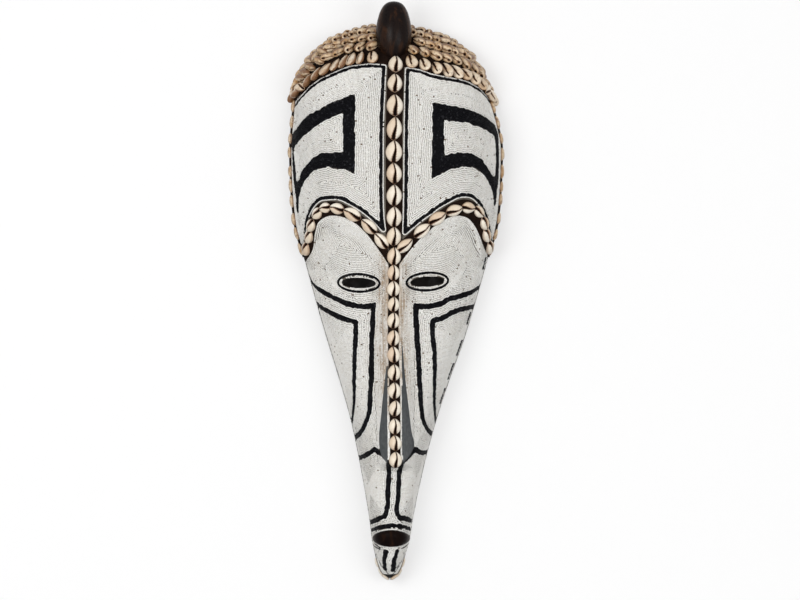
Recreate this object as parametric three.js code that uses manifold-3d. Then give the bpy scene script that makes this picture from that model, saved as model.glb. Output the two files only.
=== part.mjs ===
// A carved wooden wall mask. A hollow wood shell carries strung glass seed beads, white with
// black inlaid lines, and sewn bands of cowrie shells. A turned knob stands on the crown.
// Millimetres, +Z up, the face looks towards -Y and the open back lies in the plane y = 0.
// Heights are counted from the tip of the chin, and the finished group is lowered so that
// the middle notch of the hanger is at the origin.
import * as THREE from "three";
import { mergeVertices } from "three/addons/utils/BufferGeometryUtils.js";
import Module from "manifold-3d";

const wasm = await Module();
wasm.setup();

// Overall sizes of the beaded surface.
const maskHeight = 690;
const faceHalfWidth = 133;
const faceDepth = 109;
const sectionPower = 2.4;

// Sections from the chin to the crown. Each row is the height as a share of maskHeight, then
// the half width and the sideways lean as shares of faceHalfWidth, and the depth as a share
// of faceDepth.
const sectionShares = [
  [0, 0.023, -0.052, 0.2],
  [0.0043, 0.056, -0.052, 0.29],
  [0.0116, 0.084, -0.052, 0.38],
  [0.0203, 0.106, -0.052, 0.445],
  [0.036, 0.132, -0.051, 0.52],
  [0.0725, 0.18, -0.045, 0.6],
  [0.109, 0.207, -0.041, 0.64],
  [0.145, 0.24, -0.038, 0.662],
  [0.217, 0.316, -0.03, 0.684],
  [0.29, 0.409, -0.018, 0.708],
  [0.362, 0.523, -0.01, 0.735],
  [0.435, 0.65, 0, 0.77],
  [0.507, 0.761, 0.003, 0.818],
  [0.58, 0.865, 0.005, 0.88],
  [0.652, 0.962, 0.005, 0.945],
  [0.725, 0.993, 0.005, 0.99],
  [0.779, 1, 0.005, 1],
  [0.833, 0.965, -0.01, 0.977],
  [0.87, 0.925, -0.03, 0.927],
  [0.906, 0.85, -0.04, 0.844],
  [0.942, 0.744, -0.042, 0.706],
  [0.97, 0.571, -0.042, 0.541],
  [0.9855, 0.406, -0.042, 0.394],
  [0.994, 0.24, -0.042, 0.257],
  [1, 0.045, -0.042, 0.073],
];

// The middle of the cowrie strip, by height share, as a share of faceHalfWidth.
const stripMiddleShares = [
  [0, 0.002],
  [0.2, 0],
  [0.33, -0.006],
  [0.455, -0.022],
  [0.545, -0.014],
  [0.815, -0.014],
  [0.87, -0.006],
  [0.945, 0.004],
  [1, 0.004],
];

// Levels on the mask, as shares of maskHeight.
const levelShares = {
  noseEnd: 0.19855,
  noseFlankStart: 0.43478,
  noseRoot: 0.61594,
  eyeHollowEnd: 0.43478,
  eyeHollowFull: 0.57246,
  stripMeet: 0.6,
  stripTop: 0.94348,
  hollowBottom: 0.15652,
  hollowTop: 0.92754,
  sideBandEnd: 0.58551,
  chinBandTop: 0.04493,
  knobFoot: 0.93188,
  hanger: 0.95942,
};

// Nose: a flat ridge with sloping flanks, from the brow down to a blunt end. Its depths are
// shares of faceDepth.
const noseRidgeHalfWidth = 9.4;
const noseRootDepthShare = 0.89;
const noseTipDepthShare = 0.9;
const noseRootHeight = maskHeight * levelShares.noseRoot;
const noseEndHeight = maskHeight * levelShares.noseEnd;
const noseEndRun = 11;
const noseFlankWidth = 18;
const noseFlankEndWidth = 12.5;
const noseFlankStartHeight = maskHeight * levelShares.noseFlankStart;
const noseFlankPower = 1.15;

// Hollow of the face under the brow arches, and the arches' lower edge as shares of
// faceHalfWidth sideways and of maskHeight up.
const eyeHollowDepth = 9;
const eyeHollowSlope = 22;
const eyeHollowEndHeight = maskHeight * levelShares.eyeHollowEnd;
const eyeHollowFullHeight = maskHeight * levelShares.eyeHollowFull;
const eyeHollowSideShares = [0.8, 0.97];
const browEdgeShares = [
  [0, 0.585],
  [0.09, 0.586],
  [0.195, 0.607],
  [0.3, 0.632],
  [0.414, 0.648],
  [0.564, 0.658],
  [0.677, 0.655],
  [0.752, 0.638],
  [0.797, 0.616],
  [0.842, 0.587],
  [1, 0.55],
];

// Beadwork laid on the wood, and the clearance between touching pieces.
const beadThickness = 2.2;
const clearance = 0.3;
const rimMargin = 1;
const overrun = 5;
const halfTurn = 180;
const mergeDistance = 1e-4;

// Wood shell.
const rimWall = 14;
const frontWall = 20;
const hollowBottomHeight = maskHeight * levelShares.hollowBottom;
const hollowTopHeight = maskHeight * levelShares.hollowTop;
const hollowStartTurn = 4;
const hollowEndPower = 0.4;
const hollowRowCount = 14;
const hollowColumnCount = 12;

// Spacing of the faceted surface.
const surfaceStep = 40;
const sideColumnCount = 5;
const endRowShares = [0, 0.007, 0.0203, 0.956, 0.9785, 0.991, 1];
const normalStepShare = 0.002;

// Black bead lines.
const borderLineWidth = 3.75;
const cheekLineWidth = 6.5;
const muzzleLineWidth = 5.4;
const mouthLineWidth = 3.4;
const chinLineWidth = 5;
const rimLineInner = 20;
const rimLineOuter = 16.4;

// Outlines on the front, as shares of faceHalfWidth sideways and of maskHeight up.
const ringShares = {
  left: {
    outer: [
      [-0.381, 0.879], [-0.475, 0.873], [-0.616, 0.862], [-0.728, 0.851], [-0.851, 0.837],
      [-0.926, 0.821], [-0.977, 0.806], [-0.977, 0.779], [-0.973, 0.752], [-0.963, 0.725],
      [-0.945, 0.698], [-0.935, 0.665], [-0.914, 0.665], [-0.912, 0.692], [-0.888, 0.71],
      [-0.841, 0.728], [-0.785, 0.739], [-0.71, 0.745], [-0.616, 0.746], [-0.522, 0.744],
      [-0.456, 0.741], [-0.385, 0.736],
    ],
    inner: [
      [-0.493, 0.846], [-0.569, 0.841], [-0.663, 0.832], [-0.785, 0.817], [-0.86, 0.806],
      [-0.916, 0.794], [-0.948, 0.786], [-0.948, 0.752], [-0.935, 0.723], [-0.912, 0.723],
      [-0.888, 0.739], [-0.841, 0.75], [-0.785, 0.763], [-0.71, 0.77], [-0.634, 0.772],
      [-0.493, 0.772],
    ],
  },
  right: {
    outer: [
      [0.352, 0.864], [0.465, 0.86], [0.606, 0.855], [0.7, 0.851], [0.794, 0.844],
      [0.888, 0.833], [0.949, 0.821], [0.968, 0.806], [0.976, 0.779], [0.977, 0.752],
      [0.971, 0.725], [0.954, 0.698], [0.947, 0.678], [0.929, 0.678], [0.916, 0.703],
      [0.888, 0.717], [0.841, 0.732], [0.775, 0.743], [0.7, 0.748], [0.606, 0.747],
      [0.512, 0.743], [0.418, 0.734], [0.338, 0.726],
    ],
    inner: [
      [0.456, 0.832], [0.559, 0.83], [0.653, 0.828], [0.728, 0.824], [0.794, 0.821],
      [0.86, 0.815], [0.935, 0.804], [0.946, 0.779], [0.947, 0.752], [0.937, 0.73],
      [0.921, 0.73], [0.888, 0.741], [0.841, 0.755], [0.775, 0.766], [0.7, 0.772],
      [0.606, 0.772], [0.512, 0.771], [0.456, 0.765],
    ],
  },
};
const browLineShares = {
  left: [
    [-0.88, 0.59], [-0.865, 0.605], [-0.851, 0.638], [-0.841, 0.652], [-0.813, 0.667],
    [-0.775, 0.679], [-0.719, 0.689], [-0.634, 0.692], [-0.54, 0.692], [-0.409, 0.681],
    [-0.315, 0.67], [-0.24, 0.659], [-0.164, 0.645],
  ],
  right: [
    [0.92, 0.59], [0.907, 0.616], [0.888, 0.638], [0.86, 0.659], [0.813, 0.678],
    [0.775, 0.687], [0.719, 0.695], [0.663, 0.697], [0.587, 0.695], [0.512, 0.688],
    [0.418, 0.678], [0.324, 0.665], [0.23, 0.652], [0.155, 0.64],
  ],
};

// The line beside the forehead strip, as shares of stripHalfWidth from the strip's middle and
// of maskHeight up.
const uprightLineShares = {
  left: [
    [-1.25, 0.634], [-1.42, 0.652], [-1.53, 0.688], [-1.53, 0.743], [-1.51, 0.833],
    [-1.47, 0.879], [-1.46, 0.906], [-1.41, 0.929],
  ],
  right: [
    [1.29, 0.629], [1.36, 0.661], [1.42, 0.725], [1.47, 0.815], [1.42, 0.87],
    [1.41, 0.924],
  ],
};
const hairLineShares = {
  left: [
    [-0.094, 0.929], [-0.24, 0.931], [-0.428, 0.927], [-0.522, 0.92], [-0.616, 0.912],
    [-0.71, 0.904], [-0.804, 0.891], [-0.898, 0.873], [-0.97, 0.855],
  ],
  right: [
    [0.097, 0.924], [0.23, 0.92], [0.324, 0.913], [0.418, 0.909], [0.512, 0.906],
    [0.606, 0.903], [0.7, 0.898], [0.794, 0.888], [0.86, 0.875], [0.93, 0.857],
  ],
};
const browBandShares = {
  left: {
    outer: [
      [-0.93, 0.59], [-0.869, 0.616], [-0.832, 0.641], [-0.804, 0.663], [-0.747, 0.678],
      [-0.653, 0.685], [-0.54, 0.684], [-0.428, 0.674], [-0.334, 0.662], [-0.249, 0.65],
      [-0.174, 0.635], [-0.05, 0.612],
    ],
    inner: [
      [-0.87, 0.572], [-0.785, 0.598], [-0.757, 0.627], [-0.719, 0.649], [-0.644, 0.658],
      [-0.522, 0.658], [-0.409, 0.649], [-0.287, 0.63], [-0.193, 0.607], [-0.05, 0.566],
    ],
  },
  right: {
    outer: [
      [0.99, 0.59], [0.916, 0.62], [0.86, 0.645], [0.813, 0.667], [0.757, 0.683],
      [0.663, 0.689], [0.569, 0.686], [0.475, 0.676], [0.381, 0.664], [0.277, 0.65],
      [0.183, 0.636], [0.03, 0.61],
    ],
    inner: [
      [0.93, 0.572], [0.841, 0.6], [0.794, 0.623], [0.747, 0.641], [0.681, 0.655],
      [0.606, 0.659], [0.512, 0.656], [0.418, 0.647], [0.324, 0.632], [0.211, 0.612],
      [0.03, 0.57],
    ],
  },
};
const cheekLineShares = {
  left: {
    upper: [
      [-0.93, 0.59], [-0.869, 0.569], [-0.813, 0.549], [-0.766, 0.533], [-0.7, 0.523],
      [-0.597, 0.513], [-0.475, 0.502], [-0.352, 0.496], [-0.258, 0.496], [-0.207, 0.498],
      [-0.211, 0.48], [-0.223, 0.435], [-0.228, 0.38], [-0.24, 0.335], [-0.254, 0.304],
      [-0.287, 0.284], [-0.338, 0.266], [-0.418, 0.252], [-0.5, 0.24],
    ],
    lower: [
      [-0.86, 0.53], [-0.785, 0.513], [-0.719, 0.496], [-0.616, 0.484], [-0.503, 0.474],
      [-0.376, 0.467], [-0.376, 0.449], [-0.387, 0.408], [-0.393, 0.362], [-0.395, 0.326],
      [-0.404, 0.303], [-0.428, 0.275], [-0.47, 0.25],
    ],
  },
  right: {
    upper: [
      [0.93, 0.575], [0.869, 0.551], [0.804, 0.533], [0.728, 0.522], [0.625, 0.515],
      [0.512, 0.509], [0.418, 0.5], [0.305, 0.496], [0.188, 0.497], [0.193, 0.471],
      [0.207, 0.435], [0.221, 0.39], [0.235, 0.344], [0.249, 0.308], [0.277, 0.284],
      [0.324, 0.268], [0.381, 0.259], [0.47, 0.25],
    ],
    lower: [
      [0.88, 0.53], [0.813, 0.513], [0.738, 0.496], [0.625, 0.49], [0.531, 0.484],
      [0.446, 0.475], [0.348, 0.469], [0.352, 0.444], [0.367, 0.417], [0.373, 0.38],
      [0.371, 0.317], [0.385, 0.286], [0.42, 0.262],
    ],
  },
};
const muzzleLineShares = {
  left: {
    outer: [
      [-0.46, 0.205], [-0.381, 0.215], [-0.334, 0.221], [-0.258, 0.229], [-0.202, 0.237],
      [-0.146, 0.229],
    ],
    inner: [
      [-0.072, 0.163], [-0.084, 0.127], [-0.103, 0.116], [-0.164, 0.111], [-0.23, 0.104],
      [-0.3, 0.092],
    ],
  },
  right: {
    outer: [[0.4, 0.234], [0.324, 0.232], [0.258, 0.23], [0.193, 0.237], [0.146, 0.227]],
    inner: [
      [0.033, 0.172], [0.022, 0.145], [0.017, 0.123], [0.042, 0.113], [0.117, 0.11],
      [0.155, 0.106], [0.23, 0.092],
    ],
  },
};

// Where the muzzle lines turn under the end of the nose, as shares of noseStripHalfWidth from
// the strip's middle and of maskHeight up.
const noseCornerShares = {
  left: [[-1.51, 0.214], [-1.33, 0.199]],
  right: [[1.41, 0.212], [0.81, 0.199]],
};
const mouthLineShares = [
  [-0.3, 0.076], [-0.258, 0.085], [-0.202, 0.092], [-0.127, 0.097], [-0.042, 0.099],
  [0.061, 0.097], [0.127, 0.093], [0.174, 0.085], [0.22, 0.076],
];
const chinLineShares = {
  left: [[-0.096, 0.051], [-0.112, 0.036], [-0.108, 0.02]],
  right: [[0.019, 0.051], [-0.005, 0.036], [-0.016, 0.017]],
};
const noseFlankShares = {
  left: [
    [-0.09, 0.388], [-0.136, 0.308], [-0.155, 0.24], [-0.143, 0.227], [-0.077, 0.212],
    [-0.077, 0.388],
  ],
  right: [
    [0.07, 0.426], [0.099, 0.362], [0.127, 0.317], [0.155, 0.272], [0.177, 0.24],
    [0.146, 0.227], [0.073, 0.212], [0.062, 0.426],
  ],
};

// White panels, each by the name and the place of a spot on it.
const whitePanelShares = {
  left_forehead: [-0.25, 0.8],
  right_forehead: [0.22, 0.8],
  left_forehead_inner: [-0.7, 0.8],
  right_forehead_inner: [0.7, 0.8],
  left_eye_panel: [-0.5, 0.56],
  right_eye_panel: [0.5, 0.56],
  left_cheek_band: [-0.3, 0.42],
  right_cheek_band: [0.29, 0.42],
  left_cheek_patch: [-0.5, 0.42],
  right_cheek_patch: [0.5, 0.42],
  left_muzzle: [-0.2, 0.17],
  right_muzzle: [0.13, 0.17],
  muzzle_stripe: [-0.017, 0.17],
  chin: [-0.05, 0.055],
};
const rimRowShare = 0.4;

// Eyes: a slit through the wood inside a white ring and a black ring.
const eyeSlitHalfLength = 21.5;
const eyeSlitHalfHeight = 6.4;
const eyeWhiteRing = 3.1;
const eyeBlackRing = 2.7;
const ovalPointCount = 12;
const eyeShares = {
  left: { middle: [-0.348, 0.538], tilt: -2 },
  right: { middle: [0.302, 0.5405], tilt: 4 },
};

// Cowrie bands. A cowrie is a flattened dome with its long axis along its band.
const cowrieSideCount = 6;
const cowrieSink = 1.6;
const cowrieProfileShares = [[0, 0], [1, 0.1], [0.55, 1], [0, 1]];
const stripHalfWidth = 10.6;
const stripTopHeight = maskHeight * levelShares.stripTop;
const stripMeetHeight = maskHeight * levelShares.stripMeet;
const foreheadCowrieLength = 25;
const foreheadCowrieWidth = 18.5;
const foreheadCowrieHeight = 6;
const foreheadCowrie = {
  length: foreheadCowrieLength,
  width: foreheadCowrieWidth,
  height: foreheadCowrieHeight,
};
const foreheadCowrieCount = 9;
const noseStripHalfWidth = 6.6;
const noseStripEndRise = 4;
const noseStripEndHeight = noseEndHeight + noseStripEndRise;
const noseCowrieLength = 20;
const noseCowrieWidth = 12.6;
const noseCowrieHeight = 5.4;
const noseCowrie = {
  length: noseCowrieLength,
  width: noseCowrieWidth,
  height: noseCowrieHeight,
};
const noseCowrieCount = 13;
const browCowrieLength = 17.5;
const browCowrieWidth = 12.4;
const browCowrieHeight = 5.4;
const browCowrie = {
  length: browCowrieLength,
  width: browCowrieWidth,
  height: browCowrieHeight,
};
const browCowriePitch = 18.6;
const browFirstCowrie = 21.5;
const browSampleCount = 32;
const sideBandDepth = 27;
const sideBandEndHeight = maskHeight * levelShares.sideBandEnd;
const sideCowrieLength = 22;
const sideCowrieWidth = 16;
const sideCowrieHeight = 6;
const sideCowrie = {
  length: sideCowrieLength,
  width: sideCowrieWidth,
  height: sideCowrieHeight,
};
const sideCowriePitch = 25;
const chinBandWrap = 0.2;
const chinBandDepth = faceDepth * sectionShares[0][3] + chinBandWrap;
const chinBandTopHeight = maskHeight * levelShares.chinBandTop;
const chinCowrieLength = 14;
const chinCowrieWidth = 11;
const chinCowrieHeight = 4.6;
const chinCowrie = {
  length: chinCowrieLength,
  width: chinCowrieWidth,
  height: chinCowrieHeight,
};
const chinCowriePitch = 16;
const rimSampleCount = 40;

// Cap: rows of cowries stepped back from the hairline along planes that lean backwards.
const hairTilt = 48.7;
const hairLift = 4;
const hairLineHalf = 1.6;
const capRowCount = 5;
const capRowPitchShare = 0.1578;
const capRowPitch = faceDepth * capRowPitchShare;
const capRowGap = 0.8;
const capCowrieHeight = 7;
const capCowriePitch = 14.5;
const capFoldHeight = 3.2;
const capSampleCount = 90;
const capSearchShare = 0.7;
const capSearchCount = 24;
const capRimClear = 4;
const capSplitRowCount = 3;

// Crown knob, an egg on a dowel, with its profile as shares of its radius and its height.
const knobRadius = 22.2;
const knobHeight = 80;
const knobFootHeight = maskHeight * levelShares.knobFoot;
const knobPlaceShares = { x: -0.0165, y: -0.5688 };
const knobPlace = { x: faceHalfWidth * knobPlaceShares.x, y: faceDepth * knobPlaceShares.y };
const knobSideCount = 16;
const knobProfileShares = [
  [0, 0], [0.27, 0.025], [0.5, 0.0875], [0.7, 0.1625], [0.85, 0.244], [0.985, 0.4],
  [1, 0.556], [0.9, 0.7125], [0.7, 0.869], [0.56, 0.934], [0.32, 0.9875], [0, 1],
];
const dowelRadius = 8;
const dowelLength = 34;
const dowelSideCount = 12;
const capKnobClear = 1.2;

// Mouth: a polished oval block that follows the muzzle, in steps that stand out further
// towards its middle. Each step is a share of its half width and height, and of its proud.
const mouthHalfWidth = 23.4;
const mouthHalfHeight = 10.3;
const mouthMiddleShares = [-0.04, 0.0755];
const mouthProud = 5.5;
const mouthStepShares = [[1, 0.55], [0.72, 1]];

// Hanger: a steel strip with a raised toothed middle, on two nails in a pocket of the rim.
const hangerHeight = maskHeight * levelShares.hanger;
const hangerLength = 46;
const hangerWidth = 10;
const hangerThickness = 1;
const hangerFootLength = 9;
const hangerRaise = 1.4;
const hangerPocketDepth = 4;
const hangerPocketMargin = 3;
const hangerPocketDrop = 8;
const toothPitch = 4;
const toothDepth = 1.8;
const toothCount = 5;
const nailHeadRadius = 2.6;
const nailHeadThickness = 1;
const nailRadius = 1;
const nailLength = 14;
const nailSideCount = 12;

// Finishes.
const finishes = {
  wood: { color: 0x3a2416, roughness: 0.7 },
  polishedWood: { color: 0x281c17, roughness: 0.28 },
  whiteBeads: { color: 0xdcdad2, roughness: 0.35 },
  blackBeads: { color: 0x161619, roughness: 0.3 },
  cowries: { color: 0xe1cdaf, roughness: 0.35 },
  steel: { color: 0xa8a8a4, roughness: 0.4, metalness: 1 },
};

// A wall nail holds the mask in the middle notch of the hanger.
const notchHeight = hangerHeight - hangerWidth / 2 + toothDepth;
const mask = new THREE.Group();
mask.position.z = -notchHeight;

// A curve through the rows of a table, read at any value of the first column. It doesn't
// overshoot between rows.
function smoothColumn(rows, column) {
  const xs = rows.map((row) => row[0]);
  const ys = rows.map((row) => row[column]);
  const rises = xs.slice(1).map((x, i) => (ys[i + 1] - ys[i]) / (x - xs[i]));
  const slopes = xs.map((x, i) => {
    const before = rises[Math.max(0, i - 1)];
    const after = rises[Math.min(rises.length - 1, i)];
    return before * after <= 0 ? 0 : (2 * before * after) / (before + after);
  });
  return (x) => {
    const inside = Math.min(xs[xs.length - 1], Math.max(xs[0], x));
    let i = 0;
    while (i < xs.length - 2 && inside > xs[i + 1]) i++;
    const span = xs[i + 1] - xs[i];
    const t = (inside - xs[i]) / span;
    const fromEnd = 1 - t;
    return (
      ys[i] * (1 + 2 * t) * fromEnd ** 2 +
      slopes[i] * span * t * fromEnd ** 2 +
      ys[i + 1] * t ** 2 * (3 - 2 * t) -
      slopes[i + 1] * span * t ** 2 * fromEnd
    );
  };
}

const halfWidthShare = smoothColumn(sectionShares, 1);
const leanShare = smoothColumn(sectionShares, 2);
const depthShare = smoothColumn(sectionShares, 3);
const stripMiddleShare = smoothColumn(stripMiddleShares, 1);
const browEdgeShare = smoothColumn(browEdgeShares, 1);

function ease(value, from, to) {
  const t = Math.min(1, Math.max(0, (value - from) / (to - from)));
  return t * t * (3 - 2 * t);
}

function blend(value, from, to, atFrom, atTo) {
  const t = Math.min(1, Math.max(0, (value - from) / (to - from)));
  return atFrom + (atTo - atFrom) * t;
}

// The section of the mask at a height.
function sectionAt(height) {
  const share = height / maskHeight;
  return {
    halfWidth: faceHalfWidth * halfWidthShare(share),
    middle: faceHalfWidth * leanShare(share),
    depth: faceDepth * depthShare(share),
    strip: faceHalfWidth * stripMiddleShare(share),
  };
}

function noseFlankAt(height) {
  return blend(height, noseEndHeight, noseFlankStartHeight, noseFlankEndWidth, noseFlankWidth);
}

// How far the face is sunk under the brow arches.
function eyeHollow(x, height, section) {
  const out = Math.abs(x - section.strip);
  const edge = maskHeight * browEdgeShare(out / faceHalfWidth);
  const [sideStart, sideEnd] = eyeHollowSideShares;
  const aside = Math.abs(x - section.middle) / section.halfWidth;
  return (
    eyeHollowDepth *
    ease(edge - height, 0, eyeHollowSlope) *
    ease(height, eyeHollowEndHeight, eyeHollowFullHeight) *
    (1 - ease(aside, sideStart, sideEnd))
  );
}

// How far the nose stands out of the face.
function noseRise(x, height, section) {
  if (height < noseEndHeight || height > noseRootHeight) return 0;
  const ridgeShare = blend(
    height, noseEndHeight, noseRootHeight, noseTipDepthShare, noseRootDepthShare,
  );
  const face = section.depth - eyeHollow(section.strip, height, section);
  const out = Math.abs(x - section.strip) - noseRidgeHalfWidth;
  const across = 1 - Math.min(1, Math.max(0, out / noseFlankAt(height)));
  const end = ease(height, noseEndHeight, noseEndHeight + noseEndRun);
  return Math.max(0, faceDepth * ridgeShare - face) * across ** noseFlankPower * end;
}

// A point of the beaded surface. across runs from -1 on the left rim to 1 on the right rim.
function surfacePoint(across, height) {
  const section = sectionAt(height);
  const turn = (across * Math.PI) / 2;
  const out = Math.abs(Math.sin(turn)) ** (2 / sectionPower);
  const front = Math.abs(Math.cos(turn)) ** (2 / sectionPower);
  const x = section.middle + section.halfWidth * Math.sign(turn) * out;
  const relief = noseRise(x, height, section) - eyeHollow(x, height, section);
  return new THREE.Vector3(x, -(section.depth * front + relief), height);
}

function surfaceNormal(across, height) {
  const rise = maskHeight * normalStepShare;
  const left = surfacePoint(Math.max(-1, across - normalStepShare), height);
  const right = surfacePoint(Math.min(1, across + normalStepShare), height);
  const low = surfacePoint(across, Math.max(0, height - rise));
  const high = surfacePoint(across, Math.min(maskHeight, height + rise));
  return right.sub(left).cross(high.sub(low)).normalize();
}

function offsetPoint(across, height, offset) {
  return surfacePoint(across, height).addScaledVector(surfaceNormal(across, height), offset);
}

// The across value of a sideways place on the front.
function acrossAt(x, height) {
  const section = sectionAt(height);
  const out = Math.min(1, Math.abs(x - section.middle) / section.halfWidth);
  const turn = Math.asin(out ** (sectionPower / 2));
  return (Math.sign(x - section.middle) * turn * 2) / Math.PI;
}

// Heights of the rows of facets, closer together at both ends and at the end of the nose.
function rowHeights() {
  const fixed = endRowShares.map((share) => share * maskHeight);
  fixed.push(noseEndHeight, noseEndHeight + noseEndRun);
  const count = Math.round(maskHeight / surfaceStep);
  const spaced = [];
  for (let i = 1; i < count; i++) {
    const height = (maskHeight * i) / count;
    if (fixed.every((other) => Math.abs(other - height) > surfaceStep / 3)) spaced.push(height);
  }
  return [...fixed, ...spaced].sort((a, b) => a - b);
}

// Across values of the columns at a height. The inner ones follow the edges of the nose.
function columnsAt(height) {
  const { halfWidth, middle, strip } = sectionAt(height);
  const most = halfWidth / 3;
  const centre = middle + Math.max(-most, Math.min(most, strip - middle));
  const ridge = Math.min(noseRidgeHalfWidth, halfWidth / 4);
  const foot = ridge + Math.min(noseFlankAt(height), halfWidth / 3);
  const inner = [-foot, -ridge, ridge, foot].map((x) => acrossAt(centre + x, height));
  const last = inner.length - 1;
  const outward = (start, end, i) => start + ((end - start) * i) / sideColumnCount;
  const left = [];
  const right = [];
  for (let i = 0; i < sideColumnCount; i++) {
    left.push(outward(-1, inner[0], i));
    right.push(outward(inner[last], 1, i + 1));
  }
  return [...left, ...inner, ...right];
}

const rows = rowHeights();
const columns = rows.map(columnsAt);

function surfaceGrid(offset) {
  return rows.map((height, r) => columns[r].map((across) => offsetPoint(across, height, offset)));
}

// A point of the faceted surface, which lies a little inside the smooth one.
function facetPoint(across, height) {
  const onRow = (r) => {
    const list = columns[r];
    let c = 0;
    while (c < list.length - 2 && across > list[c + 1]) c++;
    const from = surfacePoint(list[c], rows[r]);
    const to = surfacePoint(list[c + 1], rows[r]);
    return from.lerp(to, blend(across, list[c], list[c + 1], 0, 1));
  };
  let r = 0;
  while (r < rows.length - 2 && height > rows[r + 1]) r++;
  return onRow(r).lerp(onRow(r + 1), blend(height, rows[r], rows[r + 1], 0, 1));
}

// Turns a geometry into a solid, dropping the faces that have collapsed to a line.
function solidOf(geometry) {
  const bare = geometry.index ? geometry.toNonIndexed() : geometry.clone();
  for (const name of Object.keys(bare.attributes)) {
    if (name !== "position") bare.deleteAttribute(name);
  }
  const merged = mergeVertices(bare, mergeDistance);
  const index = merged.index.array;
  const kept = [];
  for (let i = 0; i < index.length; i += 3) {
    const [a, b, c] = [index[i], index[i + 1], index[i + 2]];
    if (a !== b && b !== c && a !== c) kept.push(a, b, c);
  }
  const vertProperties = merged.attributes.position.array;
  const triVerts = new Uint32Array(kept);
  return new wasm.Manifold(new wasm.Mesh({ numProp: 3, vertProperties, triVerts }));
}

function solidOfFaces(faces) {
  const places = faces.flat().flatMap((point) => [point.x, point.y, point.z]);
  const geometry = new THREE.BufferGeometry();
  geometry.setAttribute("position", new THREE.Float32BufferAttribute(places, 3));
  return solidOf(geometry);
}

function quad(a, b, c, d) {
  return [[a, b, c], [a, c, d]];
}

// A closed sheet between two grids of the same size.
function sheetSolid(outer, inner) {
  const faces = [];
  const lastRow = outer.length - 1;
  const lastColumn = outer[0].length - 1;
  for (let r = 0; r < lastRow; r++) {
    for (let c = 0; c < lastColumn; c++) {
      faces.push(...quad(outer[r][c], outer[r][c + 1], outer[r + 1][c + 1], outer[r + 1][c]));
      faces.push(...quad(inner[r][c], inner[r + 1][c], inner[r + 1][c + 1], inner[r][c + 1]));
    }
    faces.push(...quad(outer[r][0], outer[r + 1][0], inner[r + 1][0], inner[r][0]));
    const [a, b] = [outer[r][lastColumn], outer[r + 1][lastColumn]];
    faces.push(...quad(a, inner[r][lastColumn], inner[r + 1][lastColumn], b));
  }
  for (let c = 0; c < lastColumn; c++) {
    faces.push(...quad(outer[0][c], inner[0][c], inner[0][c + 1], outer[0][c + 1]));
    const [a, b] = [outer[lastRow][c], outer[lastRow][c + 1]];
    faces.push(...quad(a, b, inner[lastRow][c + 1], inner[lastRow][c]));
  }
  return solidOfFaces(faces);
}

// The space behind a grid, closed by a flat back between its two rims.
function blockSolid(grid) {
  const faces = [];
  const lastRow = grid.length - 1;
  const lastColumn = grid[0].length - 1;
  for (let r = 0; r < lastRow; r++) {
    for (let c = 0; c < lastColumn; c++) {
      faces.push(...quad(grid[r][c], grid[r][c + 1], grid[r + 1][c + 1], grid[r + 1][c]));
    }
    const [a, b] = [grid[r][0], grid[r + 1][0]];
    faces.push(...quad(a, b, grid[r + 1][lastColumn], grid[r][lastColumn]));
  }
  for (let c = 1; c < lastColumn; c++) {
    faces.push([grid[0][0], grid[0][c + 1], grid[0][c]]);
    faces.push([grid[lastRow][0], grid[lastRow][c], grid[lastRow][c + 1]]);
  }
  return solidOfFaces(faces);
}

// A point on the front from its shares.
function place([x, height]) {
  return new THREE.Vector2(x * faceHalfWidth, height * maskHeight);
}

// A prism through the mask from an outline seen from the front, leaned back by tilt degrees.
function prism(outline, tilt = 0) {
  const reach = 2 * maskHeight;
  const settings = { depth: reach, bevelEnabled: false };
  const geometry = new THREE.ExtrudeGeometry(new THREE.Shape(outline), settings);
  geometry.translate(0, 0, -reach / 2);
  geometry.rotateX(Math.PI / 2 - THREE.MathUtils.degToRad(tilt));
  return solidOf(geometry);
}

function boxSolid(low, high) {
  const geometry = new THREE.BoxGeometry(high.x - low.x, high.y - low.y, high.z - low.z);
  geometry.translate((low.x + high.x) / 2, (low.y + high.y) / 2, (low.z + high.z) / 2);
  return solidOf(geometry);
}

// Everything between two depths behind the rim plane and two heights.
function slab(depthFrom, depthTo, heightFrom, heightTo) {
  const reach = 2 * faceHalfWidth;
  const low = new THREE.Vector3(-reach, -depthTo, heightFrom);
  const high = new THREE.Vector3(reach, -depthFrom, heightTo);
  return boxSolid(low, high);
}

// A line moved sideways by a distance, with its corners mitred.
function movedLine(points, distance) {
  return points.map((point, i) => {
    const before = points[Math.max(0, i - 1)];
    const after = points[Math.min(points.length - 1, i + 1)];
    const into = point.clone().sub(i ? before : point.clone().multiplyScalar(2).sub(after));
    const away = i < points.length - 1 ? after.clone().sub(point) : into.clone();
    into.normalize();
    away.normalize();
    const mitre = new THREE.Vector2(-into.y - away.y, into.x + away.x);
    const reach = Math.max(1, 1 + into.dot(away));
    return point.clone().addScaledVector(mitre, distance / reach);
  });
}

// The outline of a line drawn with a width.
function stroke(points, width) {
  const left = movedLine(points, width / 2);
  const right = movedLine(points, -width / 2);
  return [...left, ...right.reverse()];
}

// An outline moved outwards all round, whichever way it runs.
function grown(outline, distance) {
  const count = outline.length;
  const side = THREE.ShapeUtils.area(outline) > 0 ? -1 : 1;
  return outline.map((point, i) => {
    const into = point.clone().sub(outline[(i + count - 1) % count]).normalize();
    const away = outline[(i + 1) % count].clone().sub(point).normalize();
    const mitre = new THREE.Vector2(-into.y - away.y, into.x + away.x);
    const reach = Math.max(1 / 2, 1 + into.dot(away));
    return point.clone().addScaledVector(mitre, (side * distance) / reach);
  });
}

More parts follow.
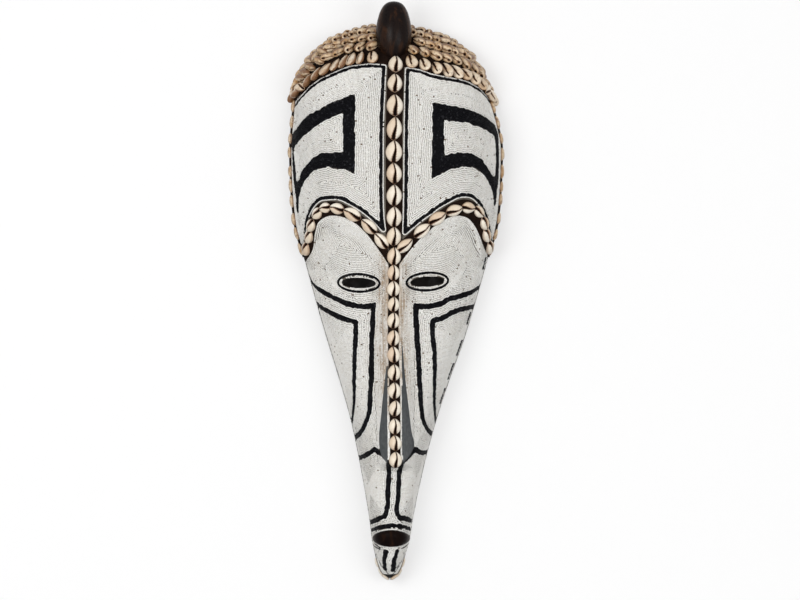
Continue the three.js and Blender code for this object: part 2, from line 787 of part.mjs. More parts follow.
function ellipse(middle, halfLength, halfHeight, tilt) {
  const points = [];
  for (let i = 0; i < ovalPointCount; i++) {
    const turn = (2 * Math.PI * i) / ovalPointCount;
    const point = new THREE.Vector2(halfLength * Math.cos(turn), halfHeight * Math.sin(turn));
    point.rotateAround(new THREE.Vector2(), THREE.MathUtils.degToRad(tilt));
    points.push(point.add(middle));
  }
  return points;
}

function joined(solids) {
  return solids.reduce((all, next) => all.add(next));
}

function addPiece(name, solid, finish) {
  const mesh = solid.getMesh();
  const geometry = new THREE.BufferGeometry();
  const count = mesh.numProp;
  const places = new Float32Array((mesh.vertProperties.length / count) * 3);
  for (let i = 0; i < places.length / 3; i++) {
    places.set(mesh.vertProperties.subarray(i * count, i * count + 3), i * 3);
  }
  geometry.setAttribute("position", new THREE.BufferAttribute(places, 3));
  geometry.setIndex(new THREE.BufferAttribute(mesh.triVerts, 1));
  geometry.computeVertexNormals();
  const piece = new THREE.Mesh(geometry, new THREE.MeshStandardMaterial(finishes[finish]));
  piece.name = name;
  mask.add(piece);
}

// The beadwork sheet that every panel, line and band is cut from, and the wood under it.
const woodOffset = -(beadThickness + clearance);
const sheet = sheetSolid(surfaceGrid(0), surfaceGrid(-beadThickness)).intersect(
  slab(rimMargin, 2 * faceDepth, -overrun, maskHeight + overrun),
);
const underCloth = blockSolid(surfaceGrid(-beadThickness));
const woodGrid = surfaceGrid(woodOffset).map((line) => {
  const behind = (point) => new THREE.Vector3(point.x, overrun, point.z);
  return [behind(line[0]), ...line, behind(line.at(-1))];
});
const wood = blockSolid(woodGrid).intersect(slab(0, 2 * faceDepth, -overrun, maskHeight + overrun));

// Black lines and rings as prisms, drawn at their own width or grown by the clearance.
function lineTool(points, width, extra) {
  return prism(stroke(points, width + 2 * extra));
}

// Points beside a cowrie strip, from shares of its half width.
function besideStrip(shares, halfWidth) {
  return shares.map(([share, level]) => {
    const height = level * maskHeight;
    return new THREE.Vector2(sectionAt(height).strip + share * halfWidth, height);
  });
}

function uprightLine(side) {
  return besideStrip(uprightLineShares[side], stripHalfWidth);
}

function muzzleLine(side) {
  const { outer, inner } = muzzleLineShares[side];
  const corner = besideStrip(noseCornerShares[side], noseStripHalfWidth);
  return [...outer.map(place), ...corner, ...inner.map(place)];
}

function ringTool(side, extra) {
  const outer = prism(grown(ringShares[side].outer.map(place), extra));
  return outer.subtract(prism(grown(ringShares[side].inner.map(place), -extra)));
}

function eyeOutline(side, extra) {
  const { middle, tilt } = eyeShares[side];
  const halfLength = eyeSlitHalfLength + extra;
  return prism(ellipse(place(middle), halfLength, eyeSlitHalfHeight + extra, tilt));
}

function rimLineTool(extra) {
  const top = sideBandEndHeight;
  return slab(rimLineOuter - extra, rimLineInner + extra, chinBandTopHeight - extra, top + extra);
}

function halfSpace(side) {
  const [from, to] = side === "left" ? [-2 * faceHalfWidth, 0] : [0, 2 * faceHalfWidth];
  const low = new THREE.Vector3(from, -2 * faceDepth, -overrun);
  const high = new THREE.Vector3(to, overrun, maskHeight + overrun);
  return boxSolid(low, high);
}

// The cowrie strip down the middle, between two heights.
function stripTool(halfWidth, bottom, top, extra) {
  const outline = [];
  const steps = Math.round((top - bottom) / surfaceStep);
  const ends = [bottom - extra, top + extra];
  for (const side of [-1, 1]) {
    for (let i = 0; i <= steps; i++) {
      const t = side < 0 ? i / steps : 1 - i / steps;
      const height = ends[0] + (ends[1] - ends[0]) * t;
      outline.push(new THREE.Vector2(sectionAt(height).strip + side * (halfWidth + extra), height));
    }
  }
  return prism(outline);
}

function browBandTool(side, extra) {
  const { outer, inner } = browBandShares[side];
  return prism(grown([...outer, ...[...inner].reverse()].map(place), extra));
}

function sideBandTool(extra) {
  return slab(-overrun, sideBandDepth + extra, sideBandEndHeight - extra, maskHeight);
}

function chinBandTool(extra) {
  return slab(-overrun, chinBandDepth + extra, -overrun, chinBandTopHeight + extra);
}

// The height on the leaned-back scale of the cap, for a point of the mask.
const hairTurn = THREE.MathUtils.degToRad(hairTilt);
function leaned(point) {
  return point.y * Math.sin(hairTurn) + point.z * Math.cos(hairTurn);
}

// The hairline from the left rim to the right rim, on the leaned-back scale.
function hairLine() {
  const shares = [...hairLineShares.left].reverse().concat(hairLineShares.right);
  const line = shares.map(place).map((point) => {
    const onFront = surfacePoint(acrossAt(point.x, point.y), point.y);
    return new THREE.Vector2(onFront.x, leaned(onFront) + hairLift);
  });
  const reach = 2 * faceHalfWidth;
  const first = new THREE.Vector2(-reach, line[0].y);
  const last = new THREE.Vector2(reach, line[line.length - 1].y);
  return [first, ...line, last];
}

const hair = hairLine();

function hairAt(x) {
  let i = 0;
  while (i < hair.length - 2 && x > hair[i + 1].x) i++;
  return blend(x, hair[i].x, hair[i + 1].x, hair[i].y, hair[i + 1].y);
}

// A band of the cap between two distances behind the hairline.
function capTool(from, to) {
  const low = hair.map((point) => new THREE.Vector2(point.x, point.y + from));
  const high = hair.map((point) => new THREE.Vector2(point.x, point.y + to));
  return prism([...low, ...high.reverse()], hairTilt);
}

// Knob, its dowel and the hole for it.
function turnedSolid(profile, sides) {
  const geometry = new THREE.LatheGeometry(profile, sides);
  geometry.rotateX(Math.PI / 2);
  return geometry;
}

function knobEgg(extra) {
  const profile = knobProfileShares.map(([r, h]) => {
    const radius = r ? r * knobRadius + extra : 0;
    return new THREE.Vector2(radius, knobFootHeight + h * knobHeight);
  });
  const geometry = turnedSolid(profile, knobSideCount);
  geometry.translate(knobPlace.x, knobPlace.y, 0);
  return solidOf(geometry);
}

function knobDowel(extra) {
  const top = knobFootHeight + knobHeight / 2;
  const bottom = top - dowelLength - knobHeight / 4 - extra;
  const radius = dowelRadius + extra;
  const profile = [[0, bottom], [radius, bottom], [radius, top], [0, top]];
  const geometry = turnedSolid(profile.map(([r, h]) => new THREE.Vector2(r, h)), dowelSideCount);
  geometry.translate(knobPlace.x, knobPlace.y, 0);
  return solidOf(geometry);
}

function mouthOutline(share, extra) {
  const halfWidth = mouthHalfWidth * share + extra;
  const halfHeight = mouthHalfHeight * share + extra;
  const outline = prism(ellipse(place(mouthMiddleShares), halfWidth, halfHeight, 0));
  return outline.intersect(slab(rimLineInner + 2 * clearance - extra, 2 * faceDepth, 0, maskHeight));
}

// The space carved out of the back, open past the rim plane.
function hollowSolid() {
  const grid = [];
  for (let r = 0; r <= hollowRowCount; r++) {
    const degrees = blend(r, 0, hollowRowCount, hollowStartTurn, halfTurn - hollowStartTurn);
    const turn = THREE.MathUtils.degToRad(degrees);
    const share = (1 - Math.cos(turn)) / 2;
    const height = hollowBottomHeight + (hollowTopHeight - hollowBottomHeight) * share;
    const taper = Math.sin(turn) ** hollowEndPower;
    const section = sectionAt(height);
    const halfWidth = (section.halfWidth - rimWall) * taper;
    const depth = (section.depth - frontWall) * taper;
    const line = [new THREE.Vector3(section.middle - halfWidth, overrun, height)];
    for (let c = 0; c <= hollowColumnCount; c++) {
      const across = (Math.PI / 2) * ((2 * c) / hollowColumnCount - 1);
      const x = section.middle + halfWidth * Math.sin(across);
      line.push(new THREE.Vector3(x, -depth * Math.abs(Math.cos(across)), height));
    }
    line.push(new THREE.Vector3(section.middle + halfWidth, overrun, height));
    grid.push(line);
  }
  return blockSolid(grid);
}

// Hanger strip, its pocket and its nails.
function hangerOutline() {
  const end = hangerLength / 2;
  const foot = end - hangerFootLength;
  const low = -hangerPocketDepth + clearance;
  const top = low + hangerThickness;
  const ramp = foot - hangerRaise;
  const outline = [
    [-end, low], [-foot, low], [-ramp, low + hangerRaise], [ramp, low + hangerRaise],
    [foot, low], [end, low], [end, top], [foot, top], [ramp, top + hangerRaise],
    [-ramp, top + hangerRaise], [-foot, top], [-end, top],
  ];
  return outline.map(([x, y]) => new THREE.Vector2(x, y));
}

function nailPlaces() {
  const out = hangerLength / 2 - hangerFootLength / 2;
  return [-out, out];
}

// A turned shape about the axis of a nail, from its profile of radii and depths.
function aboutNail(x, profile) {
  const points = profile.map(([r, depth]) => new THREE.Vector2(r, depth));
  const geometry = new THREE.LatheGeometry(points, nailSideCount);
  geometry.translate(x, 0, hangerHeight);
  return solidOf(geometry);
}

const nailHeadLow = hangerThickness - hangerPocketDepth + 2 * clearance;
const nailTip = nailHeadLow - nailLength;

function nailSolid(x) {
  const top = nailHeadLow + nailHeadThickness;
  const shank = [[0, nailTip], [nailRadius, nailTip], [nailRadius, nailHeadLow]];
  return aboutNail(x, [...shank, [nailHeadRadius, nailHeadLow], [nailHeadRadius, top], [0, top]]);
}

function nailHole(x) {
  const radius = nailRadius + clearance;
  const tip = nailTip - clearance;
  return aboutNail(x, [[0, tip], [radius, tip], [radius, nailHeadLow], [0, nailHeadLow]]);
}

function hangerStrip() {
  const settings = { depth: hangerWidth, bevelEnabled: false };
  const geometry = new THREE.ExtrudeGeometry(new THREE.Shape(hangerOutline()), settings);
  geometry.translate(0, 0, hangerHeight - hangerWidth / 2);
  let strip = solidOf(geometry);
  for (let i = 0; i < toothCount; i++) {
    const x = (i - (toothCount - 1) / 2) * toothPitch;
    const low = hangerHeight - hangerWidth / 2;
    const notch = [
      new THREE.Vector2(x - toothPitch / 2, low - overrun),
      new THREE.Vector2(x - toothPitch / 2, low),
      new THREE.Vector2(x, low + toothDepth),
      new THREE.Vector2(x + toothPitch / 2, low),
      new THREE.Vector2(x + toothPitch / 2, low - overrun),
    ];
    strip = strip.subtract(prism(notch));
  }
  for (const x of nailPlaces()) strip = strip.subtract(nailHole(x));
  return strip;
}

function hangerPocket() {
  const halfLength = hangerLength / 2 + hangerPocketMargin;
  const bottom = hangerHeight - hangerWidth / 2 - hangerPocketDrop;
  const top = hangerHeight + hangerWidth / 2 + hangerPocketMargin;
  const low = new THREE.Vector3(-halfLength, -hangerPocketDepth, bottom);
  const high = new THREE.Vector3(halfLength, overrun, top);
  return boxSolid(low, high);
}

// A cowrie on the surface, with its long axis towards along.
function cowrieSolid(size, point, normal, along) {
  const profile = cowrieProfileShares.map(([r, h]) => new THREE.Vector2(r, h));
  const geometry = new THREE.LatheGeometry(profile, cowrieSideCount);
  geometry.scale(size.width / 2, size.height + cowrieSink, size.length / 2);
  const across = new THREE.Vector3().crossVectors(normal, along).normalize();
  const forward = new THREE.Vector3().crossVectors(across, normal).normalize();
  const turn = new THREE.Matrix4().makeBasis(across, normal, forward);
  geometry.applyMatrix4(turn);
  const foot = point.clone().addScaledVector(normal, -cowrieSink);
  geometry.translate(foot.x, foot.y, foot.z);
  return solidOf(geometry);
}

function cowrieAt(size, across, height, along) {
  return cowrieSolid(size, facetPoint(across, height), surfaceNormal(across, height), along);
}

const upward = new THREE.Vector3(0, 0, 1);

function stripCowries(size, count, bottom, top) {
  const pitch = (top - bottom) / count;
  const made = [];
  for (let i = 0; i < count; i++) {
    const height = bottom + pitch * (i + 1 / 2);
    made.push(cowrieAt(size, acrossAt(sectionAt(height).strip, height), height, upward));
  }
  return made;
}

// Places spaced evenly along a line of across and height values.
function spacedPlaces(line, pitch, start, stop) {
  const places = [];
  let walked = 0;
  let next = start;
  for (let i = 1; i < line.length; i++) {
    const from = surfacePoint(line[i - 1].x, line[i - 1].y);
    const to = surfacePoint(line[i].x, line[i].y);
    const step = from.distanceTo(to);
    while (next <= walked + step) {
      const t = (next - walked) / step;
      const spot = line[i - 1].clone().lerp(line[i], t);
      places.push({ across: spot.x, height: spot.y, along: to.clone().sub(from).normalize() });
      next += pitch;
    }
    walked += step;
  }
  return places.filter((spot) => surfacePoint(spot.across, spot.height).y < -stop);
}

// Brow cowries follow the middle of their band outwards from the strip.
function browCowriesOf(side) {
  const curveOf = (shares) => new THREE.SplineCurve(shares.map(place));
  const outer = curveOf(browBandShares[side].outer);
  const inner = curveOf(browBandShares[side].inner);
  const line = [];
  for (let i = browSampleCount; i >= 0; i--) {
    const middle = outer.getPointAt(i / browSampleCount).lerp(inner.getPointAt(i / browSampleCount), 1 / 2);
    line.push(new THREE.Vector2(acrossAt(middle.x, middle.y), middle.y));
  }
  const stop = sideBandDepth + browCowrie.length / 2;
  return cowriesAt(browCowrie, spacedPlaces(line, browCowriePitch, browFirstCowrie, stop));
}

// The height where a line of constant across reaches a distance behind the hairline.
function capHeight(across, distance) {
  let low = capSearchShare * maskHeight;
  let high = maskHeight;
  for (let turn = 0; turn < capSearchCount; turn++) {
    const middle = (low + high) / 2;
    const point = surfacePoint(across, middle);
    if (leaned(point) - hairAt(point.x) < distance) low = middle;
    else high = middle;
  }
  return (low + high) / 2;
}

// Across values half a cowrie apart along a cap row, from the left rim to the right rim.
function capStations(distance) {
  const line = [];
  for (let i = -capSampleCount; i <= capSampleCount; i++) {
    const across = i / capSampleCount;
    line.push(new THREE.Vector2(across, capHeight(across, distance)));
  }
  const inner = spacedPlaces(line, capCowriePitch / 2, capCowriePitch / 2, capRimClear);
  return [-1, ...inner.map((spot) => spot.across), 1];
}

// One cap row: a band of cloth with a ridge of cowries standing side by side.
function capRowSolid(from, to) {
  const middle = (from + Math.min(to, from + capRowPitch)) / 2;
  const stations = capStations(middle);
  const grid = (edge, fold, crest) => [from, middle, to].map((distance, line) =>
    stations.map((across, i) => {
      const inner = i % 2 === 1 ? crest : fold;
      return offsetPoint(across, capHeight(across, distance), line === 1 ? inner : edge);
    }));
  const under = -beadThickness - overrun;
  const whole = sheetSolid(grid(0, capFoldHeight, capCowrieHeight), grid(under, under, under));
  return whole.subtract(underCloth);
}

const sides = [["left", -1], ["right", 1]];

// Wood shell.
function buildShell() {
  let shell = wood.subtract(hollowSolid()).subtract(knobDowel(clearance)).subtract(hangerPocket());
  for (const [side] of sides) shell = shell.subtract(eyeOutline(side, 0));
  for (const x of nailPlaces()) shell = shell.subtract(nailHole(x));
  addPiece("carved_shell", shell, "wood");
}

function buildKnob() {
  const seat = blockSolid(surfaceGrid(woodOffset + clearance));
  addPiece("crest_knob", knobEgg(0).subtract(seat).add(knobDowel(0)), "polishedWood");
}

function buildMouth() {
  const seat = surfaceGrid(woodOffset + clearance);
  const steps = mouthStepShares.map(([share, proud]) => {
    const body = sheetSolid(surfaceGrid(mouthProud * proud), seat);
    return body.intersect(mouthOutline(share, 0));
  });
  addPiece("mouth_lips", joined(steps), "polishedWood");
}

// Black inlays. Lines on the face stop at the line that runs round the rim.
function frontLine(points, width, extra) {
  const front = slab(rimLineInner + clearance - extra, 2 * faceDepth, 0, maskHeight);
  return lineTool(points, width, extra).intersect(front);
}

function cheekTool(side, line, extra) {
  return frontLine(cheekLineShares[side][line].map(place), cheekLineWidth, extra);
}

function chinTool(side, extra) {
  return frontLine(chinLineShares[side].map(place), chinLineWidth, extra);
}

function eyeRing(side, extra) {
  const inner = eyeOutline(side, eyeWhiteRing - extra);
  return eyeOutline(side, eyeWhiteRing + eyeBlackRing + extra).subtract(inner);
}

// The line round the forehead. Its top runs along the hairline, leaned back like the cap.
function borderTool(side, extra) {
  const top = capTool(-hairLift - hairLineHalf - extra, -hairLift + hairLineHalf + extra);
  const upright = uprightLine(side);
  const brow = [...browLineShares[side].map(place), upright[0]];
  const corner = upright.at(-1).x;
  const reach = 2 * faceHalfWidth;
  const inner = corner - Math.sign(corner) * (borderLineWidth / 2 + extra);
  const outer = Math.sign(corner) * reach;
  const low = new THREE.Vector3(Math.min(inner, outer), -2 * faceDepth, 0);
  const high = new THREE.Vector3(Math.max(inner, outer), overrun, maskHeight + overrun);
  const lines = joined([brow, upright].map((line) => lineTool(line, borderLineWidth, extra)));
  const under = capTool(-reach, -hairLift + hairLineHalf + extra);
  return top.intersect(boxSolid(low, high)).add(lines.intersect(under));
}

const blackTools = sides.flatMap(([side]) => [
  [side + "_rim_line", (extra) => rimLineTool(extra).intersect(halfSpace(side))],
  [side + "_forehead_border", (extra) => borderTool(side, extra)],
  [side + "_forehead_ring", (extra) => ringTool(side, extra)],
  [side + "_eye_ring", (extra) => eyeRing(side, extra)],
  [side + "_cheek_line_upper", (extra) => cheekTool(side, "upper", extra)],
  [side + "_cheek_line_lower", (extra) => cheekTool(side, "lower", extra)],
  [side + "_muzzle_line", (extra) => frontLine(muzzleLine(side), muzzleLineWidth, extra)],
  [side + "_chin_line", (extra) => chinTool(side, extra)],
]);
const mouthLine = mouthLineShares.map(place);
blackTools.push(["mouth_line", (extra) => frontLine(mouthLine, mouthLineWidth, extra)]);

// Everything that isn't beadwork on the sheet: bands, cap, knob, mouth, bare flanks, eyes.
function bandTools(extra) {
  const tools = [
    capTool(-extra, 2 * faceHalfWidth),
    stripTool(stripHalfWidth, stripMeetHeight, stripTopHeight, extra),
    stripTool(noseStripHalfWidth, noseStripEndHeight, stripMeetHeight, extra),
    sideBandTool(extra),
    chinBandTool(extra),
    knobEgg(extra),
    mouthOutline(1, extra),
  ];
  for (const [side] of sides) {
    tools.push(browBandTool(side, extra), prism(noseFlankShares[side].map(place)));
    tools.push(eyeOutline(side, 0));
  }
  return tools;
}

function largest(solid) {
  return solid.decompose().sort((a, b) => b.volume() - a.volume())[0];
}

function buildBlack() {
  const others = joined(bandTools(clearance));
  const earlier = [];
  for (const [name, tool] of blackTools) {
    let piece = sheet.intersect(tool(0)).subtract(others);
    for (const other of earlier) piece = piece.subtract(other(clearance));
    earlier.push(tool);
    addPiece(name + "_black", largest(piece), "blackBeads");
  }
}

// White panels are what the black inlays and the bands leave of the sheet. Each is known by
// a spot inside it.
function whiteSpots() {
  const inSheet = (across, height) => {
    const normal = surfaceNormal(across, height);
    return facetPoint(across, height).addScaledVector(normal, -beadThickness / 2);
  };
  const onFront = (x, height) => inSheet(acrossAt(x, height), height);
  const spots = Object.entries(whitePanelShares).map(([name, shares]) => {
    const spot = place(shares);
    return [name, onFront(spot.x, spot.y)];
  });
  for (const [side, sign] of sides) {
    const rimHeight = rimRowShare * maskHeight;
    const rimAcross = acrossAtDepth(sign, (rimMargin + rimLineOuter) / 2, rimHeight);
    spots.push([side + "_rim_row", inSheet(rimAcross, rimHeight)]);
    const eye = place(eyeShares[side].middle);
    spots.push([side + "_eye_rim", onFront(eye.x, eye.y + eyeSlitHalfHeight + eyeWhiteRing / 2)]);
    const upright = uprightLine(side);
    const line = upright[Math.floor(upright.length / 2)];
    const stripEdge = sectionAt(line.y).strip + sign * stripHalfWidth;
    const lineEdge = line.x - (sign * borderLineWidth) / 2;
    spots.push([side + "_border_row", onFront((stripEdge + lineEdge) / 2, line.y)]);
  }
  return spots;
}

// Takes out of a list the body at a spot, or the nearest one.
function takeBodyAt(bodies, spot) {
  for (let reach = clearance; bodies.length; reach *= 2) {
    const half = new THREE.Vector3(reach, reach, reach);
    const cube = boxSolid(spot.clone().sub(half), spot.clone().add(half));
    const found = bodies.findIndex((body) => body.intersect(cube).volume() > 0);
    if (found >= 0) return bodies.splice(found, 1)[0];
  }
}

function buildWhite() {
  const taken = joined([...bandTools(clearance), ...blackTools.map(([, tool]) => tool(clearance))]);
  const bodies = sheet.subtract(taken).decompose();
  for (const [name, spot] of whiteSpots()) {
    addPiece(name + "_white", takeBodyAt(bodies, spot), "whiteBeads");
  }
}

// Cowrie bands: a cloth strip cut from the sheet with its shells sewn on.
function band(name, cloth, cowries) {
  const piece = cowries.length ? joined(cowries).subtract(underCloth).add(cloth) : cloth;
  addPiece(name, largest(piece), "cowries");
}

function knobClear() {
  return knobEgg(clearance + capKnobClear);
}

function buildStrips() {
  const meet = stripMeetHeight + clearance / 2;
  const upper = stripTool(stripHalfWidth, meet, stripTopHeight, 0).subtract(knobClear());
  const lowerTop = meet - clearance;
  const lower = stripTool(noseStripHalfWidth, noseStripEndHeight, lowerTop, 0);
  const upperCowries = stripCowries(foreheadCowrie, foreheadCowrieCount, meet, stripTopHeight - overrun);
  const lowerCowries = stripCowries(noseCowrie, noseCowrieCount, noseStripEndHeight, lowerTop);
  band("forehead_cowrie_strip", sheet.intersect(upper), upperCowries);
  band("nose_cowrie_strip", sheet.intersect(lower), lowerCowries);
}

function bothStrips(extra) {
  const upper = stripTool(stripHalfWidth, stripMeetHeight, stripTopHeight, extra);
  return upper.add(stripTool(noseStripHalfWidth, noseStripEndHeight, stripMeetHeight, extra));
}

function buildBrows() {
  for (const [side] of sides) {
    const cloth = sheet.intersect(browBandTool(side, 0).intersect(halfSpace(side)));
    const kept = cloth.subtract(bothStrips(clearance)).subtract(sideBandTool(clearance));
    band(side + "_brow_cowrie_band", largest(kept), browCowriesOf(side));
  }
}

// The across value where the surface stands a depth in front of the rim plane.
function acrossAtDepth(sign, depth, height) {
  const front = Math.min(1, depth / sectionAt(height).depth);
  return (sign * Math.acos(front ** (sectionPower / 2)) * 2) / Math.PI;
}

function rimPlaces(sign, depth, from, to, pitch) {
  const line = [];
  for (let i = 0; i <= rimSampleCount; i++) {
    const height = from + ((to - from) * i) / rimSampleCount;
    line.push(new THREE.Vector2(acrossAtDepth(sign, depth, height), height));
  }
  return spacedPlaces(line, pitch, pitch / 2, 0);
}

function cowriesAt(size, places) {
  return places.map(({ across, height, along }) => cowrieAt(size, across, height, along));
}

function buildSideBands() {
  for (const [side, sign] of sides) {
    const cloth = sheet.intersect(sideBandTool(0).intersect(halfSpace(side)));
    const kept = largest(cloth.subtract(capTool(-clearance, 2 * faceHalfWidth)));
    const depth = sideBandDepth / 2;
    const top = (hairAt(sign * 2 * faceHalfWidth) + depth * Math.sin(hairTurn)) / Math.cos(hairTurn);
    const count = Math.floor((top - sideBandEndHeight) / sideCowriePitch);
    const end = sideBandEndHeight + count * sideCowriePitch;
    const places = rimPlaces(sign, depth, sideBandEndHeight, end, sideCowriePitch);
    band(side + "_side_cowrie_band", kept, cowriesAt(sideCowrie, places));
  }
}

function buildChinBand() {
  const cowries = sides.flatMap(([, sign]) => {
    const places = rimPlaces(sign, chinBandDepth / 2, 0, chinBandTopHeight, chinCowriePitch);
    return cowriesAt(chinCowrie, places);
  });
  band("chin_cowrie_band", sheet.intersect(chinBandTool(0)), cowries);
}

function buildCap() {
  const taken = bothStrips(clearance).add(knobClear());
  const front = slab(rimMargin, 2 * faceDepth, 0, 2 * maskHeight);
  for (let row = 0; row < capRowCount; row++) {
    const from = row * capRowPitch + capRowGap;
    const to = row < capRowCount - 1 ? (row + 1) * capRowPitch : 2 * faceHalfWidth;
    const whole = capRowSolid(from, to).subtract(taken).intersect(front);
    if (row < capSplitRowCount) {
      for (const [side] of sides) {
        band(side + "_cap_row_" + (row + 1), whole.intersect(halfSpace(side)), []);
      }
    } else {
      band("cap_row_" + (row + 1), whole, []);
    }
  }
}

function buildHanger() {
  addPiece("hanger_strip", hangerStrip(), "steel");
  nailPlaces().forEach((x, i) => addPiece("hanger_nail_" + (i + 1), nailSolid(x), "steel"));
}

buildShell();
buildKnob();
buildMouth();
buildBlack();
buildWhite();
buildStrips();
buildBrows();
buildSideBands();
buildChinBand();
buildCap();
buildHanger();

export default mask;
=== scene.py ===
"""Looks of the carved wooden wall mask: strung seed beads, sewn cowries, cloth and wood."""
import math

import bpy
import numpy as np
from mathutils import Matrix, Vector, kdtree
from mathutils.bvhtree import BVHTree


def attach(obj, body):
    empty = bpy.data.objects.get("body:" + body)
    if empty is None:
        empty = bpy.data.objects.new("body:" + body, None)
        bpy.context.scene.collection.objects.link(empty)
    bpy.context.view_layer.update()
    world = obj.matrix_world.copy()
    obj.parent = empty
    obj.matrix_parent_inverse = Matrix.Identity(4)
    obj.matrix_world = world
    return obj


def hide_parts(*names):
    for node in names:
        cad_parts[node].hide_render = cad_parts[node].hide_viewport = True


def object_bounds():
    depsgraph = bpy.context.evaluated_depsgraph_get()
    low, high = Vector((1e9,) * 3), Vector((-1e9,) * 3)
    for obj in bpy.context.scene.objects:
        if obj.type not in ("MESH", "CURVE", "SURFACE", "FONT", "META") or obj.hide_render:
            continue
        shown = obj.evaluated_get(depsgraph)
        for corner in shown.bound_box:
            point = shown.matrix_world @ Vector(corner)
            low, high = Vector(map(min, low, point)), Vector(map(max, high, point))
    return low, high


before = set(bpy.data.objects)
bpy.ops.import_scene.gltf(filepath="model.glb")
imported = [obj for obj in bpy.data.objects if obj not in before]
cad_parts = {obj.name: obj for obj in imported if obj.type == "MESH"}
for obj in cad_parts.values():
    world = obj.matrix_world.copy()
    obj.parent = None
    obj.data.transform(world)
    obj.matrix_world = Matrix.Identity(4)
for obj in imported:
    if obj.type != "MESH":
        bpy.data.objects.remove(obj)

cad_box = [list(corner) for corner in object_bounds()]
rng = np.random.default_rng(11)

# Sizes, in millimetres. They are those of the solids, apart from the side bands, the dashes and
# the chin's tip, which only show here. Heights count from the tip of the chin.
MASK_HEIGHT = 690
FACE_HALF_WIDTH = 133
FACE_DEPTH = 109
SECTION_POWER = 2.4
NOTCH_HEIGHT = 658.8
SECTION_SHARES = [
    (0, 0.023, -0.052, 0.2), (0.0043, 0.056, -0.052, 0.29), (0.0116, 0.084, -0.052, 0.38),
    (0.0203, 0.106, -0.052, 0.445), (0.036, 0.132, -0.051, 0.52), (0.0725, 0.18, -0.045, 0.6),
    (0.109, 0.207, -0.041, 0.64), (0.145, 0.24, -0.038, 0.662), (0.217, 0.316, -0.03, 0.684),
    (0.29, 0.409, -0.018, 0.708), (0.362, 0.523, -0.01, 0.735), (0.435, 0.65, 0, 0.77),
    (0.507, 0.761, 0.003, 0.818), (0.58, 0.865, 0.005, 0.88), (0.652, 0.962, 0.005, 0.945),
    (0.725, 0.993, 0.005, 0.99), (0.779, 1, 0.005, 1), (0.833, 0.965, -0.01, 0.977),
    (0.87, 0.925, -0.03, 0.927), (0.906, 0.85, -0.04, 0.844), (0.942, 0.744, -0.042, 0.706),
    (0.97, 0.571, -0.042, 0.541), (0.9855, 0.406, -0.042, 0.394), (0.994, 0.24, -0.042, 0.257),
    (1, 0.045, -0.042, 0.073),
]
STRIP_MIDDLE_SHARES = [
    (0, 0.002), (0.2, 0), (0.33, -0.006), (0.455, -0.022), (0.545, -0.014), (0.815, -0.014),
    (0.87, -0.006), (0.945, 0.004), (1, 0.004),
]
NOSE_RIDGE = 9.4
NOSE_TIP_DEPTH, NOSE_ROOT_DEPTH = 98.1, 97.0
NOSE_END, NOSE_ROOT, NOSE_END_RUN = 137, 425, 11
FLANK_END_WIDTH, FLANK_WIDTH, FLANK_START, FLANK_POWER = 12.5, 18, 300, 1.15
EYE_HOLLOW, EYE_HOLLOW_SLOPE, EYE_HOLLOW_END, EYE_HOLLOW_FULL = 9, 22, 300, 395
EYE_HOLLOW_SIDES = (0.8, 0.97)
BROW_EDGE_SHARES = [
    (0, 0.585), (0.09, 0.586), (0.195, 0.607), (0.3, 0.632), (0.414, 0.648), (0.564, 0.658),
    (0.677, 0.655), (0.752, 0.638), (0.797, 0.616), (0.842, 0.587), (1, 0.55),
]
RIM_WALL, FRONT_WALL = 14, 20
HOLLOW_BOTTOM, HOLLOW_TOP = 108, 640
HOLLOW_START_TURN, HOLLOW_END_POWER = 4, 0.4
WOOD_OFFSET = -2.5
STRIP_HALF, STRIP_MEET, STRIP_TOP = 10.6, 414, 651
NOSE_STRIP_HALF, NOSE_STRIP_END = 6.6, 141
SIDE_BAND_DEPTH, SIDE_BAND_END = 24.5, 404
CHIN_BAND_DEPTH, CHIN_BAND_TOP, CHIN_TIP = 22, 31, 6.5
RIM_LINE_INNER, RIM_LINE_OUTER = 20, 16.4
DASH_DEPTHS = (24.5, 26.8, 29.1, 31.4)
HAIR_TURN = math.radians(48.7)
HAIR_LIFT = 4
KNOB_RADIUS, KNOB_HEIGHT, KNOB_FOOT, KNOB_X, KNOB_Y = 22.2, 80, 643, -2.2, -62
MOUTH = (-0.04, 0.0755, 23.4, 10.3)
EYES = {"left": (-0.348, 0.538, -2), "right": (0.302, 0.5405, 4)}
EYE_SLIT = (21.5, 6.4)
EYE_WHITE_RING, EYE_BLACK_RING = 3.1, 2.7



# Outlines on the front.
def pairs(*thousandths):
    """Points from whole thousandths: shares of the half width sideways and of the height up."""
    shares = [value / 1000 for value in thousandths]
    return list(zip(shares[::2], shares[1::2]))


RINGS = {
    "left": (
        pairs(-381, 879, -475, 873, -616, 862, -728, 851, -851, 837, -926, 821, -977, 806, -977,
              779, -973, 752, -963, 725, -945, 698, -935, 665, -914, 665, -912, 692, -888, 710,
              -841, 728, -785, 739, -710, 745, -616, 746, -522, 744, -456, 741, -385, 736),
        pairs(-493, 846, -569, 841, -663, 832, -785, 817, -860, 806, -916, 794, -948, 786, -948,
              752, -935, 723, -912, 723, -888, 739, -841, 750, -785, 763, -710, 770, -634, 772,
              -493, 772)),
    "right": (
        pairs(352, 864, 465, 860, 606, 855, 700, 851, 794, 844, 888, 833, 949, 821, 968, 806,
              976, 779, 977, 752, 971, 725, 954, 698, 947, 678, 929, 678, 916, 703, 888, 717,
              841, 732, 775, 743, 700, 748, 606, 747, 512, 743, 418, 734, 338, 726),
        pairs(456, 832, 559, 830, 653, 828, 728, 824, 794, 821, 860, 815, 935, 804, 946, 779,
              947, 752, 937, 730, 921, 730, 888, 741, 841, 755, 775, 766, 700, 772, 606, 772,
              512, 771, 456, 765)),
}
